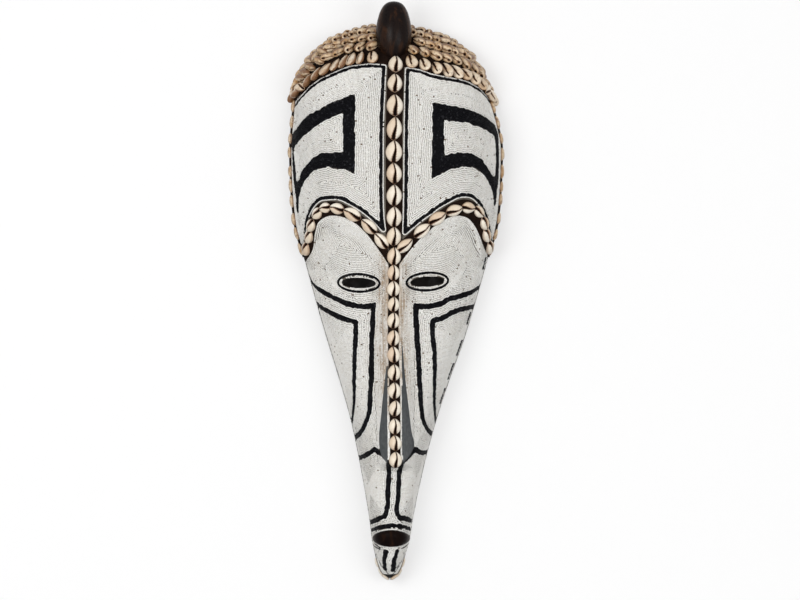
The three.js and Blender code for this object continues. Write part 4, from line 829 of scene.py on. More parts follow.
tensor = [box_mean(v) for v in (slope_row**2, slope_row * slope_column, slope_column**2)]
seam_turn = 0.5 * np.arctan2(2 * tensor[1], tensor[2] - tensor[0])
GAP = 1.42
tree = tree_of(spots)
checked = np.argwhere((label >= 0) & (np.abs(level % 1 - 0.5) > 0.12) & (level > 0.6))
gaps = distances(tree, FIELD[checked[:, 0], checked[:, 1]])
order = np.argsort(-gaps)
order = order[gaps[order] > GAP]
cells = {}
for i in order.tolist():
    r, c = checked[i]
    p = FIELD[r, c]
    cell = tuple((p / GAP).astype(int))
    near = [q for a in (-1, 0, 1) for b in (-1, 0, 1) for d in (-1, 0, 1)
            for q in cells.get((cell[0] + a, cell[1] + b, cell[2] + d), ())]
    if all(np.abs(p - q).max() > GAP or np.linalg.norm(p - q) > GAP for q in near):
        cells.setdefault(cell, []).append(p)
        cells.setdefault("chosen", []).append((r, c, gaps[i]))
r, c, gap = np.array(cells.pop("chosen")).T
r, c = r.astype(int), c.astype(int)
turn = seam_turn[r, c][:, None]
along = unit(unit(step_column[r, c]) * -np.sin(turn) + unit(step_row[r, c]) * np.cos(turn))
ones = np.ones(len(r))
filling = np.stack([label[r, c], -ones, ones, ACROSS[c], HEIGHTS[r]], -1)
strung = np.concatenate([strung, np.concatenate(
    [filling, along, ones[:, None] * 1.6, np.clip(gap - 0.75, 0.6, 1)[:, None]], 1)])
beads = {name: strung[strung[:, 0] == i] for i, name in enumerate(names)}

# One bead: a short barrel of which the outer half shows.
STATIONS = np.array([-0.48, 0.0, 0.48])
BARREL = np.array([0.8, 1.0, 0.8])
TURNS = np.radians([-98, -52, 0, 52, 98])
BEAD_HEIGHT = 1.15
# How uneven the beads lie, and half of a bead's width as a share of the row pitch.
WHITE_ROUGH_SHARE, BLACK_ROUGH_SHARE = (0.6, 0.495), (3.0, 0.485)
STAIN_LEFT, STAIN_RIGHT = 2.8, 1.9


def bead_piece(name, material, pitch):
    rows = beads[name]
    count = len(rows)
    across, height, along = rows[:, 3], rows[:, 4], rows[:, 5:8]
    long, broad = rows[:, 8], rows[:, 9]
    rough, share = WHITE_ROUGH_SHARE if "white" in name else BLACK_ROUGH_SHARE
    up = normals(across, height)
    side = unit(np.cross(up, along))
    along = np.cross(side, up)
    tilt = rng.normal(0, 0.06 * rough, (count, 1))
    along = unit(along + side * tilt)
    side = np.cross(up, along)
    size = rng.normal(1, 0.05 * rough, count)
    middle = surface(across, height) + up * (rng.normal(-BEAD_HEIGHT, 0.07, count))[:, None]
    middle += side * rng.normal(0, 0.07 * rough, (count, 1))
    wide = pitch * share * size * broad
    ring = BARREL[:, None] * np.ones(len(TURNS))

    def part(way, shape, length):
        return way[:, None, None] * shape[None, ..., None] * length[:, None, None, None]

    points = (middle[:, None, None]
              + part(along, STATIONS[:, None] * np.ones(len(TURNS)), long * 0.98)
              + part(side, ring * np.sin(TURNS), wide)
              + part(up, ring * np.cos(TURNS), BEAD_HEIGHT * size))
    one = grid_faces(len(STATIONS), len(TURNS))
    per = len(STATIONS) * len(TURNS)
    faces = (one[None] + (np.arange(count) * per)[:, None, None]).reshape(-1, 4)[:, ::-1]
    tint = np.repeat(rng.random(count), per)
    # Brown stains run down beside the nose strip.
    aside = np.abs(middle[:, 0] - section(height)[3]) - NOSE_STRIP_HALF
    streak = 0.5 + 0.5 * np.sin(middle[:, 0] * 1.9 + 2 * np.sin(height * 0.02))
    stain = np.where(across < 0, STAIN_LEFT, STAIN_RIGHT) * (
        np.exp(-np.clip(aside - 3, 0, None) / 6) * ease(height, 190, 250)
        * (1 - ease(height, 380, 440)) * (0.3 + 0.9 * streak))
    stain = np.repeat(np.clip(stain * rng.uniform(0.35, 1.4, count), 0, 0.9), per)
    uv = bake_cells(count, len(TURNS), len(STATIONS), 0.1)
    piece = make_piece(name.replace("_white", "_white_beads").replace("_black", "_black_beads"),
                       points.reshape(-1, 3), faces, [material],
                       {"tint": tint, "stain": stain}, uv)
    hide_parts(name)
    return piece


# Materials.
class Nodes:
    """A material's node tree, with short calls for the nodes that the finishes use."""

    def __init__(self, name):
        self.material = bpy.data.materials.new(name)
        self.material.use_nodes = True
        self.tree = self.material.node_tree
        self.shader = self.tree.nodes["Principled BSDF"]
        self.place = self.tree.nodes.new("ShaderNodeTexCoord").outputs["Object"]

    def link(self, source, target):
        self.tree.links.new(source, target)

    def put(self, socket, value):
        """Links an output to a socket, or sets the socket's own value."""
        if isinstance(value, bpy.types.NodeSocket):
            self.link(value, socket)
        else:
            socket.default_value = value

    def node(self, kind, **values):
        """A new node with its inputs by name."""
        node = self.tree.nodes.new("ShaderNode" + kind)
        for key, value in values.items():
            self.put(node.inputs[key], value)
        return node

    def set(self, **values):
        for key, value in values.items():
            self.put(self.shader.inputs[key.replace("_", " ")], value)

    def stretched(self, stretch):
        if not stretch:
            return self.place
        return self.node("Mapping", Scale=stretch, Vector=self.place).outputs["Vector"]

    def noise(self, scale, detail=4.0, rough=0.55, stretch=None, twist=0.0):
        return self.node("TexNoise", Scale=scale, Detail=detail, Roughness=rough,
                         Distortion=twist, Vector=self.stretched(stretch)).outputs["Fac"]

    def cells(self, scale, stretch=None):
        return self.node("TexVoronoi", Scale=scale,
                         Vector=self.stretched(stretch)).outputs["Distance"]

    def attribute(self, name):
        node = self.node("Attribute")
        node.attribute_name = name
        return node.outputs["Fac"]

    def ramp(self, value, *stops):
        node = self.node("ValToRGB", Fac=value)
        band = node.color_ramp
        while len(band.elements) < len(stops):
            band.elements.new(0.5)
        for element, (spot, colour) in zip(band.elements, stops):
            element.position = spot
            element.color = (*colour, 1)
        return node.outputs["Color"]

    def grey(self, value, *stops):
        return self.ramp(value, *[(spot, (v, v, v)) for spot, v in stops])

    def mix(self, amount, a, b):
        node = self.node("Mix")
        node.data_type = "RGBA"
        for key, value in (("Factor", amount), ("A", a), ("B", b)):
            socket = next(s for s in node.inputs if s.name == key and s.enabled)
            self.put(socket, (*value, 1) if isinstance(value, tuple) else value)
        return next(s for s in node.outputs if s.enabled)

    def math(self, kind, *values):
        node = self.node("Math")
        node.operation = kind
        for socket, value in zip(node.inputs, values):
            self.put(socket, value)
        return node.outputs[0]

    def bump(self, *layers):
        """Stacks bumps of (height value, strength, distance in metres)."""
        normal = {}
        for value, strength, distance in layers:
            node = self.node("Bump", Strength=strength, Distance=distance, Height=value, **normal)
            normal = {"Normal": node.outputs["Normal"]}
        self.set(**normal)


def white_bead_finish():
    """Milky glass, a few beads duller, with brown stains down both sides of the nose."""
    n = Nodes("white_beads")
    tint = n.ramp(n.attribute("tint"), (0.0, (0.12, 0.08, 0.05)), (0.006, (0.16, 0.11, 0.07)),
                  (0.009, (0.75, 0.73, 0.686)), (1.0, (0.845, 0.84, 0.815)))
    patches = n.grey(n.noise(14, 5, 0.6), (0.5, 0.0), (0.8, 0.2))
    tone = n.mix(patches, tint, (0.66, 0.60, 0.50))
    streaks = n.grey(n.noise(160, 4, 0.6, (1, 1, 0.25)), (0.38, 0.25), (0.62, 1.0))
    tone = n.mix(n.math("MULTIPLY", n.attribute("stain"), streaks), tone, (0.36, 0.25, 0.15))
    n.set(Base_Color=tone, Roughness=0.36, Specular_IOR_Level=0.3)
    n.bump((n.noise(1500, 2), 0.15, 0.0002))
    return n.material


def black_bead_finish():
    n = Nodes("black_beads")
    tint = n.ramp(n.attribute("tint"), (0.0, (0.002, 0.002, 0.003)), (0.85, (0.006, 0.006, 0.008)),
                  (1.0, (0.03, 0.03, 0.034)))
    n.set(Base_Color=tint, Roughness=0.34, Specular_IOR_Level=0.04)
    n.bump((n.noise(1500, 2), 0.15, 0.0002))
    return n.material


def cloth_finish():
    n = Nodes("band_cloth")
    colour = n.ramp(n.noise(120, 5, 0.7), (0.3, (0.004, 0.0024, 0.0018)),
                    (0.7, (0.018, 0.009, 0.006)))
    n.set(Base_Color=colour, Roughness=0.9, Specular_IOR_Level=0.05)
    weave = n.math("MULTIPLY", n.noise(900, 2, 0.5, (1, 1, 0.25)),
                   n.noise(900, 2, 0.5, (0.25, 1, 1)))
    n.bump((weave, 0.6, 0.0012))
    return n.material


def ground_finish():
    n = Nodes("ground_cloth")
    colour = n.ramp(n.noise(90, 5, 0.7), (0.3, (0.08, 0.07, 0.057)), (0.7, (0.14, 0.122, 0.10)))
    black = n.grey(n.attribute("black"), (0.3, 0.0), (0.55, 1.0))
    colour = n.mix(black, colour, (0.006, 0.006, 0.007))
    n.set(Base_Color=colour, Roughness=0.95, Specular_IOR_Level=0.2)
    n.bump((n.noise(1200, 3), 0.5, 0.0006))
    return n.material


def cowrie_finish(name, dull):
    """Shell: warm on one side of the slit, pale on the other, brown in the slit and stains, with
    painted shade at its edges.
    """
    n = Nodes(name)
    base = n.ramp(n.attribute("tint"), (0.0, (0.68, 0.53, 0.39)), (0.5, (0.76, 0.65, 0.51)),
                  (1.0, (0.83, 0.75, 0.63)))
    tone = n.mix(n.math("MULTIPLY", n.attribute("side"), 0.9), base, (0.90, 0.84, 0.73))
    tone = n.mix(dull, tone, (0.60, 0.39, 0.17))
    stain = n.grey(n.noise(110, 5, 0.62), (0.44, 0.0), (0.66, 0.2 + 1.5 * dull))
    tone = n.mix(stain, tone, (0.42, 0.22, 0.07))
    grime = n.grey(n.noise(260, 4, 0.6), (0.52, 0.0), (0.7, min(1, 2.5 * dull)))
    tone = n.mix(grime, tone, (0.13, 0.065, 0.03))
    # Painted shade: the edge mark darkens each flat shell's rim and the sides and underside of the
    # whole shells.
    edge = n.math("MULTIPLY", n.attribute("edge"), 0.6 + 0.5 * dull)
    tone = n.mix(edge, tone, (0.20, 0.095, 0.04))
    tone = n.mix(n.attribute("teeth"), tone, (0.24, 0.12, 0.06))
    slit = n.attribute("slit")
    tone = n.mix(n.grey(slit, (0.03, 0.0), (0.35, 0.92)), tone, (0.13, 0.05, 0.022))
    tone = n.mix(n.grey(slit, (0.4, 0.0), (0.8, 1.0)), tone, (0.008, 0.004, 0.003))
    n.set(Base_Color=tone, Roughness=n.grey(n.noise(300, 3), (0.3, 0.24), (0.7, 0.4)),
          Specular_IOR_Level=n.grey(slit, (0.05, 0.3 + 0.4 * dull), (0.4, 0.01)))
    n.bump((n.noise(700, 3), 0.2, 0.0004))
    return n.material


def knob_finish(name, gloss):
    n = Nodes(name)
    grain = n.noise(48, 8, 0.62, (1, 1, 0.14), 1.4)
    colour = n.ramp(grain, (0.35, (0.005, 0.003, 0.003)), (0.50, (0.009, 0.005, 0.004)),
                    (0.62, (0.036, 0.015, 0.007)), (0.74, (0.008, 0.005, 0.004)))
    n.set(Base_Color=colour, Roughness=n.grey(n.noise(220, 4), (0.3, 0.22), (0.7, 0.38)),
          Specular_IOR_Level=gloss)
    n.bump((grain, 0.15, 0.0008), (n.noise(90, 3, 0.5, (1, 1, 0.5)), 0.1, 0.001))
    return n.material


def wood_finish():
    n = Nodes("carved_wood")
    grain = n.noise(45, 8, 0.62, (1, 1, 0.07), 0.8)
    colour = n.ramp(grain, (0.28, (0.045, 0.022, 0.011)), (0.5, (0.10, 0.052, 0.026)),
                    (0.72, (0.17, 0.095, 0.05)))
    worn = n.grey(n.noise(9, 5, 0.6), (0.4, 0.0), (0.75, 0.55))
    n.set(Base_Color=n.mix(worn, colour, (0.05, 0.028, 0.016)), Roughness=0.75)
    n.bump((grain, 0.35, 0.0012), (n.cells(75, (1, 1, 0.45)), 0.6, 0.003))
    return n.material


def flank_finish():
    n = Nodes("painted_wood")
    colour = n.ramp(n.noise(40, 6, 0.65, (1, 1, 0.3)), (0.3, (0.016, 0.019, 0.022)),
                    (0.6, (0.030, 0.035, 0.038)), (0.8, (0.06, 0.063, 0.063)))
    n.set(Base_Color=colour, Roughness=n.grey(n.noise(200, 3), (0.3, 0.45), (0.7, 0.7)))
    n.bump((n.noise(260, 5, 0.6, (1, 1, 0.3)), 0.35, 0.0008))
    return n.material


def steel_finish():
    n = Nodes("hanger_steel")
    colour = n.ramp(n.noise(180, 5, 0.6), (0.35, (0.40, 0.40, 0.39)), (0.7, (0.58, 0.57, 0.55)))
    rust = n.grey(n.noise(420, 4, 0.7), (0.6, 0.0), (0.75, 0.6))
    n.set(Base_Color=n.mix(rust, colour, (0.16, 0.075, 0.035)), Metallic=1.0,
          Roughness=n.grey(n.noise(500, 3), (0.3, 0.3), (0.7, 0.55)))
    n.bump((n.noise(900, 3), 0.2, 0.0003))
    return n.material


WHITE_BEADS, BLACK_BEADS = white_bead_finish(), black_bead_finish()
BAND_CLOTH, GROUND, COWRIE = cloth_finish(), ground_finish(), cowrie_finish("cowries", 0.0)
FIRST_COWRIE = cowrie_finish("first_row_cowries", 0.25)
CAP_COWRIE, EDGE_COWRIE = cowrie_finish("cap_cowries", 0.5), cowrie_finish("edge_cowries", 0.58)
POLISHED, LIPS = knob_finish("polished_wood", 0.07), knob_finish("polished_lips", 0.012)
WOOD, PAINTED, STEEL = wood_finish(), flank_finish(), steel_finish()

for name in names:
    if len(beads[name]):
        bead_piece(name, WHITE_BEADS if "white" in name else BLACK_BEADS, pitch_of(name))
for name in ("hanger_strip", "hanger_nail_1", "hanger_nail_2"):
    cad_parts[name].material_slots[0].material = STEEL


# Cowries. One shell, seen from the side of its slit: u runs along it and v across it.
BOX = np.array(cad_box) * 1000 + (0, 0, NOTCH_HEIGHT)


def kept_in(points):
    """Moves a shell so that it stays in the box of the solids."""
    low, high = points.reshape(-1, 3).min(0), points.reshape(-1, 3).max(0)
    return points + np.maximum(BOX[0] + 0.02 - low, 0) - np.maximum(high - BOX[1] + 0.02, 0)


def cowrie_shape(rows, columns, slit_at=0.12, slit_wide=0.115, teeth=9, bend=0.1):
    """Unit heights and marks of a shell on a grid of rows and columns."""
    u = np.sin(np.linspace(-np.pi / 2, np.pi / 2, rows))[:, None] * np.ones(columns)
    v = np.sin(np.linspace(-np.pi / 2, np.pi / 2, columns))[None, :] * np.ones((rows, 1))
    half = (1 - np.abs(u) ** 1.95) ** 0.68 * (1 - 0.08 * u)
    dome = (1 - np.abs(u) ** 2.6) ** 0.45 * (1 - np.abs(v) ** 2.3) ** 0.5
    line = slit_at + bend * np.sin(2.6 * u + 0.5)
    wide = slit_wide * (0.9 + 1.1 * np.clip(-u, -0.35, 1)) / np.maximum(half, 0.35)
    away = np.abs(v - line) / wide
    fade = np.clip((1 - np.abs(u)) / 0.07, 0, 1)
    groove = np.exp(-away**2.4) * fade
    lip = np.exp(-(((away - 2.1) / 0.9) ** 2)) * fade
    notch = (0.5 - 0.5 * np.cos(2 * np.pi * teeth * (u + 1) / 2)) * np.exp(
        -(((away - 1.35) / 0.7) ** 2)) * fade
    height = dome * (1 - 0.85 * groove) + 0.06 * lip * dome - 0.1 * notch
    # The edge mark is painted shade: it darkens the rim of each shell, where it meets the cloth.
    marks = {"slit": np.clip(groove * 1.4, 0, 1), "teeth": np.clip(notch * 0.75, 0, 1),
             "side": ease(v, line, line + 0.2),
             "edge": np.clip(ease(np.maximum(np.abs(v), np.abs(u)), 0.86, 1.0), 0, 1)}
    return u, v * half, np.clip(height, 0, None), marks


def shells_piece(name, nodes, places, marks, one, material, shaped):
    """One mesh of shells that stands for CAD nodes. shaped gives a shell's points at its place."""
    rows, columns = marks["slit"].shape
    points, tints = [], []
    for spot, up, along, *long in places:
        side = unit(np.cross(along, up))
        forward = unit(np.cross(up, side))
        points.append(kept_in(shaped(spot, side, forward, up, *long)).reshape(-1, 3))
        tints.append(np.full(rows * columns, rng.random()))
    faces = np.concatenate([one + i * rows * columns for i in range(len(places))])
    values = {k: np.tile(m.ravel(), len(places)) for k, m in marks.items()}
    piece = make_piece(name, np.concatenate(points), faces, [material],
                       {"tint": np.concatenate(tints), **values},
                       bake_cells(len(places), columns, rows, 0.03))
    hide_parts(*nodes)


def cowries_piece(name, nodes, places, shape, size, material, sink=0.7):
    """Shells sewn down flat, at places: (point, up, along, length). Size is width and height."""
    u, v, height, marks = shape

    def shaped(spot, side, forward, up, long):
        wide, high = np.array(size) * rng.normal(1, 0.04, 2) * (0.6 + 0.4 * long / places[0][3])
        return (spot - up * sink + side * (v * wide / 2)[..., None]
                + forward * (u * long / 2)[..., None] + up * (height * (high + sink))[..., None])

    shells_piece(name, nodes, places, marks, grid_faces(*u.shape), material, shaped)


def cloth_piece(name, across, height, lift, material=BAND_CLOTH,
                thick=2.0, attributes=None):
    """A closed sheet over a grid of (across, height), its top at a lift over the surface."""
    across, height, lift = np.broadcast_arrays(across, height, lift)
    top = offset_point(across, height, lift)
    under = offset_point(across, height, np.minimum(lift, 0) - thick)
    rows, columns = across.shape
    count = rows * columns
    faces = grid_faces(rows, columns)
    edge = np.concatenate([np.arange(columns), np.arange(1, rows) * columns + columns - 1,
                           (rows - 1) * columns + np.arange(columns - 1)[::-1],
                           np.arange(1, rows - 1)[::-1] * columns])
    after = np.roll(edge, -1)
    wall = np.stack([edge, edge + count, after + count, after], -1)
    points = np.concatenate([top.reshape(-1, 3), under.reshape(-1, 3)])
    piece = make_piece(name, points, np.concatenate([faces, faces[:, ::-1] + count, wall]),
                       [material], attributes)
    return piece


def rolled(columns, drop=1.4):
    """Lift of a cloth band across its width, with its edges rolled down."""
    t = np.abs(np.linspace(-1, 1, columns))
    return -drop * t**4


def strip_cloth(name, half, bottom, top):
    height = np.linspace(bottom, top, int((top - bottom) / 1.6))[:, None]
    across = across_at(section(height)[3] + np.linspace(-half, half, 13)[None, :], height)
    cloth_piece(name, across, height, rolled(13))


UPWARD = np.array([0.0, 0.0, 1.0])
# Widths and heights of the shells that lie flat, and length, width and height of the whole ones.
SHELL_SIZES = {"forehead": (18.8, 6.4), "nose": (17.4, 5.6), "brow": (15.6, 5.6),
               "side": (16, 3.6), "chin": (11.0, 2.4), "first_row": (21, 14, 9.5),
               "cap": (20.5, 10.8, 12)}
# Heights and lengths of the shells on both strips, from the top.
FOREHEAD_SHELLS = [(643.7, 24), (619.8, 25), (592, 28), (563, 29.4), (534.3, 28.2), (507.5, 26.4),
                   (480, 27), (453.2, 26), (429, 24)]
NOSE_SHELLS = [(404.4, 23), (383.8, 20), (363.8, 19.6), (344.4, 18.8), (324.2, 20.4), (302.6, 20.4),
               (281.9, 20.8), (259.4, 21), (236.9, 21), (215, 20.4), (192.6, 20.2), (171.9, 19.6),
               (151, 20.6)]


def strip_places(shells, lean=0.05):
    heights, lengths = np.array(shells).T
    across = across_at(section(heights)[3] + rng.normal(0, 0.3, len(shells)), heights)
    spots, ups = surface(across, heights), normals(across, heights)
    return [(spot, up, UPWARD + np.array([1, 0, 0]) * rng.normal(0, lean), long)
            for spot, up, long in zip(spots, ups, lengths)]


strip_cloth("forehead_strip_cloth", STRIP_HALF, STRIP_MEET + 0.2, STRIP_TOP)
strip_cloth("nose_strip_cloth", NOSE_STRIP_HALF, NOSE_STRIP_END, STRIP_MEET - 0.2)
big = cowrie_shape(44, 34)
for part, shells in (("forehead", FOREHEAD_SHELLS), ("nose", NOSE_SHELLS)):
    cowries_piece(part + "_cowries", [part + "_cowrie_strip"], strip_places(shells), big,
                  SHELL_SIZES[part], COWRIE)


def along_line(line, pitch, start, stop):
    """Places along a line of (across, height): across, height and direction, a pitch apart."""
    p = surface(line[:, 0], line[:, 1])
    walked = walked_along(p)
    spots = np.arange(start, walked[-1] - stop, pitch)
    at = np.stack([np.interp(spots, walked, line[:, k]) for k in (0, 1)], -1)
    return at, way_at(spots, walked, p, 2)


def resampled(line, count):
    walked = walked_along(line)
    spots = np.linspace(0, walked[-1], count)
    return np.stack([np.interp(spots, walked, line[:, k]) for k in range(line.shape[1])], -1)


brow_shape = cowrie_shape(32, 24, 0.08, 0.13, teeth=7, bend=0.12)
# Middles of the brow shells, from the strip outwards: sideways place and height.
BROW_SHELLS = {
    "left": [(-17.6, 423.5), (-32.8, 441.5), (-53.8, 456.5), (-72.8, 463.8), (-87.6, 464.8),
             (-97.8, 457.8), (-105.4, 443), (-108, 429), (-111.5, 414)],
    "right": [(11.4, 417.5), (33, 436), (52, 451.5), (73, 461.5), (90.5, 465), (104, 460),
              (110.8, 445.5), (113.3, 431), (117, 416)],
}
for side, sign in SIDES:
    outer, inner = (resampled(curve_through(placed(s)), 90) for s in BROW_BANDS[side])
    t = np.linspace(0, 1, 11)
    spots = outer[:, None] * (1 - t)[:, None] + inner[:, None] * t[:, None]
    aside = (spots[..., 0] - section(spots[..., 1])[3]) * sign
    spots[..., 0] += np.clip(NOSE_STRIP_HALF + 1 - aside, 0, None) * sign
    across = across_at(spots[..., 0], spots[..., 1])
    cloth_piece(side + "_brow_cloth", across, spots[..., 1], rolled(11))
    shells = np.array(BROW_SHELLS[side])
    across = across_at(*shells.T)
    spots = surface(across, shells[:, 1])
    steps = np.diff(spots, axis=0)
    ways = unit(np.concatenate([steps[:1], steps[1:] + steps[:-1], steps[-1:]]))
    lengths = np.linalg.norm(steps, axis=1)
    lengths = np.concatenate([lengths[:1], (lengths[1:] + lengths[:-1]) / 2, lengths[-1:]])
    places = zip(spots, normals(across, shells[:, 1]), ways, np.clip(lengths + 1, 16.5, 25))
    cowries_piece(side + "_brow_cowries", [side + "_brow_cowrie_band"], list(places), brow_shape,
                  SHELL_SIZES["brow"], COWRIE)

# Cowries on the side edges and round the tip of the chin.
SIDE_SHELL_DEPTH, SIDE_SHELL_PITCH, SIDE_SHELL_START = 15.5, 20.0, 10.5
SIDE_SHELL_LENGTHS, SIDE_SHELL_JITTER = (15.5, 20), 1.2


def rim_line(sign, depth, bottom, top):
    height = np.arange(bottom, top, 0.8)
    return np.stack([across_at_depth(sign, depth, height), height], -1)


def rim_cloth(name, sign, heights, depths, lift, most=1.0):
    """A band of cloth along a rim, no deeper than a share of the mask's depth."""
    height, depth = heights[:, None], depths[None, :]
    across = across_at_depth(sign, np.minimum(depth, most * section(height)[2]), height)
    if sign > 0:
        across = across[:, ::-1]
    cloth_piece(name, across, height, lift)


side_shape = cowrie_shape(26, 20, 0.05, 0.12, teeth=7)
for side, sign in SIDES:
    line = rim_line(sign, SIDE_SHELL_DEPTH, SIDE_BAND_END, MASK_HEIGHT * 0.99)
    line = line[behind_hair(surface(*line.T)) < -2]
    at, along = along_line(line, SIDE_SHELL_PITCH, SIDE_SHELL_START, 1)
    at[1:-1, 1] += rng.normal(0, SIDE_SHELL_JITTER, len(at) - 2)
    depths = SIDE_SHELL_DEPTH + rng.normal(0, SIDE_SHELL_JITTER, len(at))
    at[:, 0] = across_at_depth(sign, depths, at[:, 1])
    along = unit(along + rng.normal(0, 0.12, along.shape))
    lengths = rng.uniform(*SIDE_SHELL_LENGTHS, len(at))
    cowries_piece(side + "_side_cowries", [side + "_side_cowrie_band"],
                  list(zip(surface(*at.T), normals(*at.T), along, lengths)),
                  side_shape, SHELL_SIZES["side"], EDGE_COWRIE)
    bulge = 2.8 * (1 - np.linspace(-1, 1, 13) ** 2) ** 2 - 1.2
    rim_cloth(side + "_side_cloth", sign, np.linspace(SIDE_BAND_END, line[-1, 1] + 2, 90),
              np.linspace(1, SIDE_BAND_DEPTH, 13), bulge)

chin_shape = cowrie_shape(20, 16, 0.05, 0.12, teeth=5)
CHIN_TIP_SHELLS, CHIN_TIP_LENGTH = 2.6, 11.5
CHIN_SHELL_DEPTH, CHIN_SHELL_PITCH, CHIN_SHELL_LENGTH = 10.5, 13.6, 14.5
chin = []
for side, sign in SIDES:
    line = rim_line(sign, CHIN_SHELL_DEPTH, 0, CHIN_BAND_TOP)
    at, along = along_line(line, CHIN_SHELL_PITCH, 11, 4)
    lengths = np.full(len(at), CHIN_SHELL_LENGTH)
    chin += list(zip(surface(*at.T), normals(*at.T), along, lengths))
for x, turned in ((-12.4, -1), (-2.0, 1)):
    spot = np.array([across_at(x, CHIN_TIP_SHELLS), CHIN_TIP_SHELLS])
    way = np.array([1, 0, 0.5 * turned])
    chin.append((surface(*spot), normals(*spot), way, CHIN_TIP_LENGTH))
cowries_piece("chin_cowries", ["chin_cowrie_band"], chin, chin_shape, SHELL_SIZES["chin"], COWRIE)
for side, sign in SIDES:
    rim_cloth(side + "_chin_cloth", sign, np.linspace(0.3, CHIN_BAND_TOP, 24),
              np.linspace(0.6, CHIN_BAND_DEPTH, 10), rolled(10, 0.7), 0.98)


# Cap: rows of whole shells that stand on edge, stepped back over the crown.
def whole_cowrie(rows, columns, slit_at, slit_wide, hole):
    """A whole shell as unit points (across, up, along), with its marks. It is broad and round
    at its lower end, and its slit opens towards the upper end."""
    u = np.sin(np.linspace(-np.pi / 2, np.pi / 2, rows))[:, None] * np.ones(columns)
    turn = np.linspace(-np.pi, np.pi, columns, endpoint=False)[None, :] * np.ones((rows, 1))
    half = (1 - np.abs(u) ** 2.3) ** 0.55 * (1 - 0.24 * u)
    v = np.sin(turn)
    up = np.cos(turn)
    line = slit_at + 0.1 * np.sin(2.2 * u + 0.4)
    opened = slit_wide * (1 + np.clip(u + 0.2, 0, 2)) / np.maximum(half, 0.4)
    fade = np.clip((1 - u) / 0.05, 0, 1) * ease(u, -0.75, -0.5) * (up > 0)
    away = np.abs(v - line) / opened
    groove = np.exp(-away**2.4) * fade
    lip = np.exp(-(((away - 2.0) / 0.9) ** 2)) * fade
    tall = np.where(up > 0, 0.7 * np.abs(up) ** 0.7, -0.9 * np.abs(up) ** 0.9)
    tall = tall * (1 - (0.8 - 0.3 * hole) * groove) + 0.05 * lip
    pit = np.exp(-(((u + 0.66) / 0.17) ** 2 + ((v - 0.0) / 0.34) ** 2) ** 2) * (up > 0)
    tall -= hole * 0.5 * pit
    # The edge mark is painted shade: it darkens the sides and underside of each whole shell.
    marks = {"slit": np.clip(groove * 1.4, 0, 1) * (1 - hole * 0.65) + hole * pit,
             "teeth": 0 * u, "side": 0.5 * ease(v, line, line + 0.3) * (up > 0),
             "edge": 1.5 * (1 - ease(up, -0.2, 0.75))}
    return v * half, tall * half, u, marks


def whole_cowries(name, nodes, places, shape, size, material):
    """Whole shells at places: (point, up, along). Size is length, width and height."""
    v, tall, u, marks = shape

    def shaped(spot, side, forward, up):
        long, wide, high = np.array(size) * rng.normal(1, 0.08, 3)
        return (spot + side * (v * wide / 2)[..., None] + forward * (u * long / 2)[..., None]
                + up * (tall * high / 2)[..., None])

    shells_piece(name, nodes, places, marks, grid_faces(*u.shape, closed=True), material, shaped)


def height_behind(across, distance):
    """The height at which a column reaches a distance behind the hairline."""
    low = np.full(np.shape(across), 0.7 * MASK_HEIGHT)
    high = np.full(np.shape(across), float(MASK_HEIGHT))
    for _ in range(30):
        middle = (low + high) / 2
        before = behind_hair(surface(across, middle)) < distance
        low, high = np.where(before, middle, low), np.where(before, high, middle)
    return (low + high) / 2


CAP_PITCH = 17.2
CAP_ROWS, CAP_SHELL_PITCH, FIRST_SHELL_PITCH = 6, 11, 11.2
# How far the middles of the shells stand over the surface.
CAP_SHELL_LIFT, FIRST_SHELL_LIFT = 3.2, 3.4
# Further out than this the shells stand more across their row.
FLANK = 84
# Lean of the shells toward the knob, seen from the front: sideways place and degrees.
FIRST_ROW_LEAN = ([-122, -97, -86, -73, -63, -47, -30, 0, 20, 36, 74, 86, 96, 112],
                  [60, 45, 34, 24, 17, 6, 0, 0, 8, 26, 31, 38, 45, 52])
UPPER_LEAN = {"left": (58, 66, 70, 72), "right": (50, 60, 66, 70)}
cap_across = np.linspace(-1, 1, 141)
cap_t = np.linspace(0, 1, 44)
cap_low = height_behind(cap_across, -0.6)
cap_heights = cap_low[None, :] + (MASK_HEIGHT - 0.2 - cap_low)[None, :] * cap_t[:, None]
cloth_piece("cap_cloth", cap_across, cap_heights, np.where(cap_t[:, None] < 0.02, -1.2, -0.2))
cap_shapes = [whole_cowrie(24, 30, -0.14, 0.095, 0.0), whole_cowrie(20, 26, 0.0, 0.1, 1.0)]
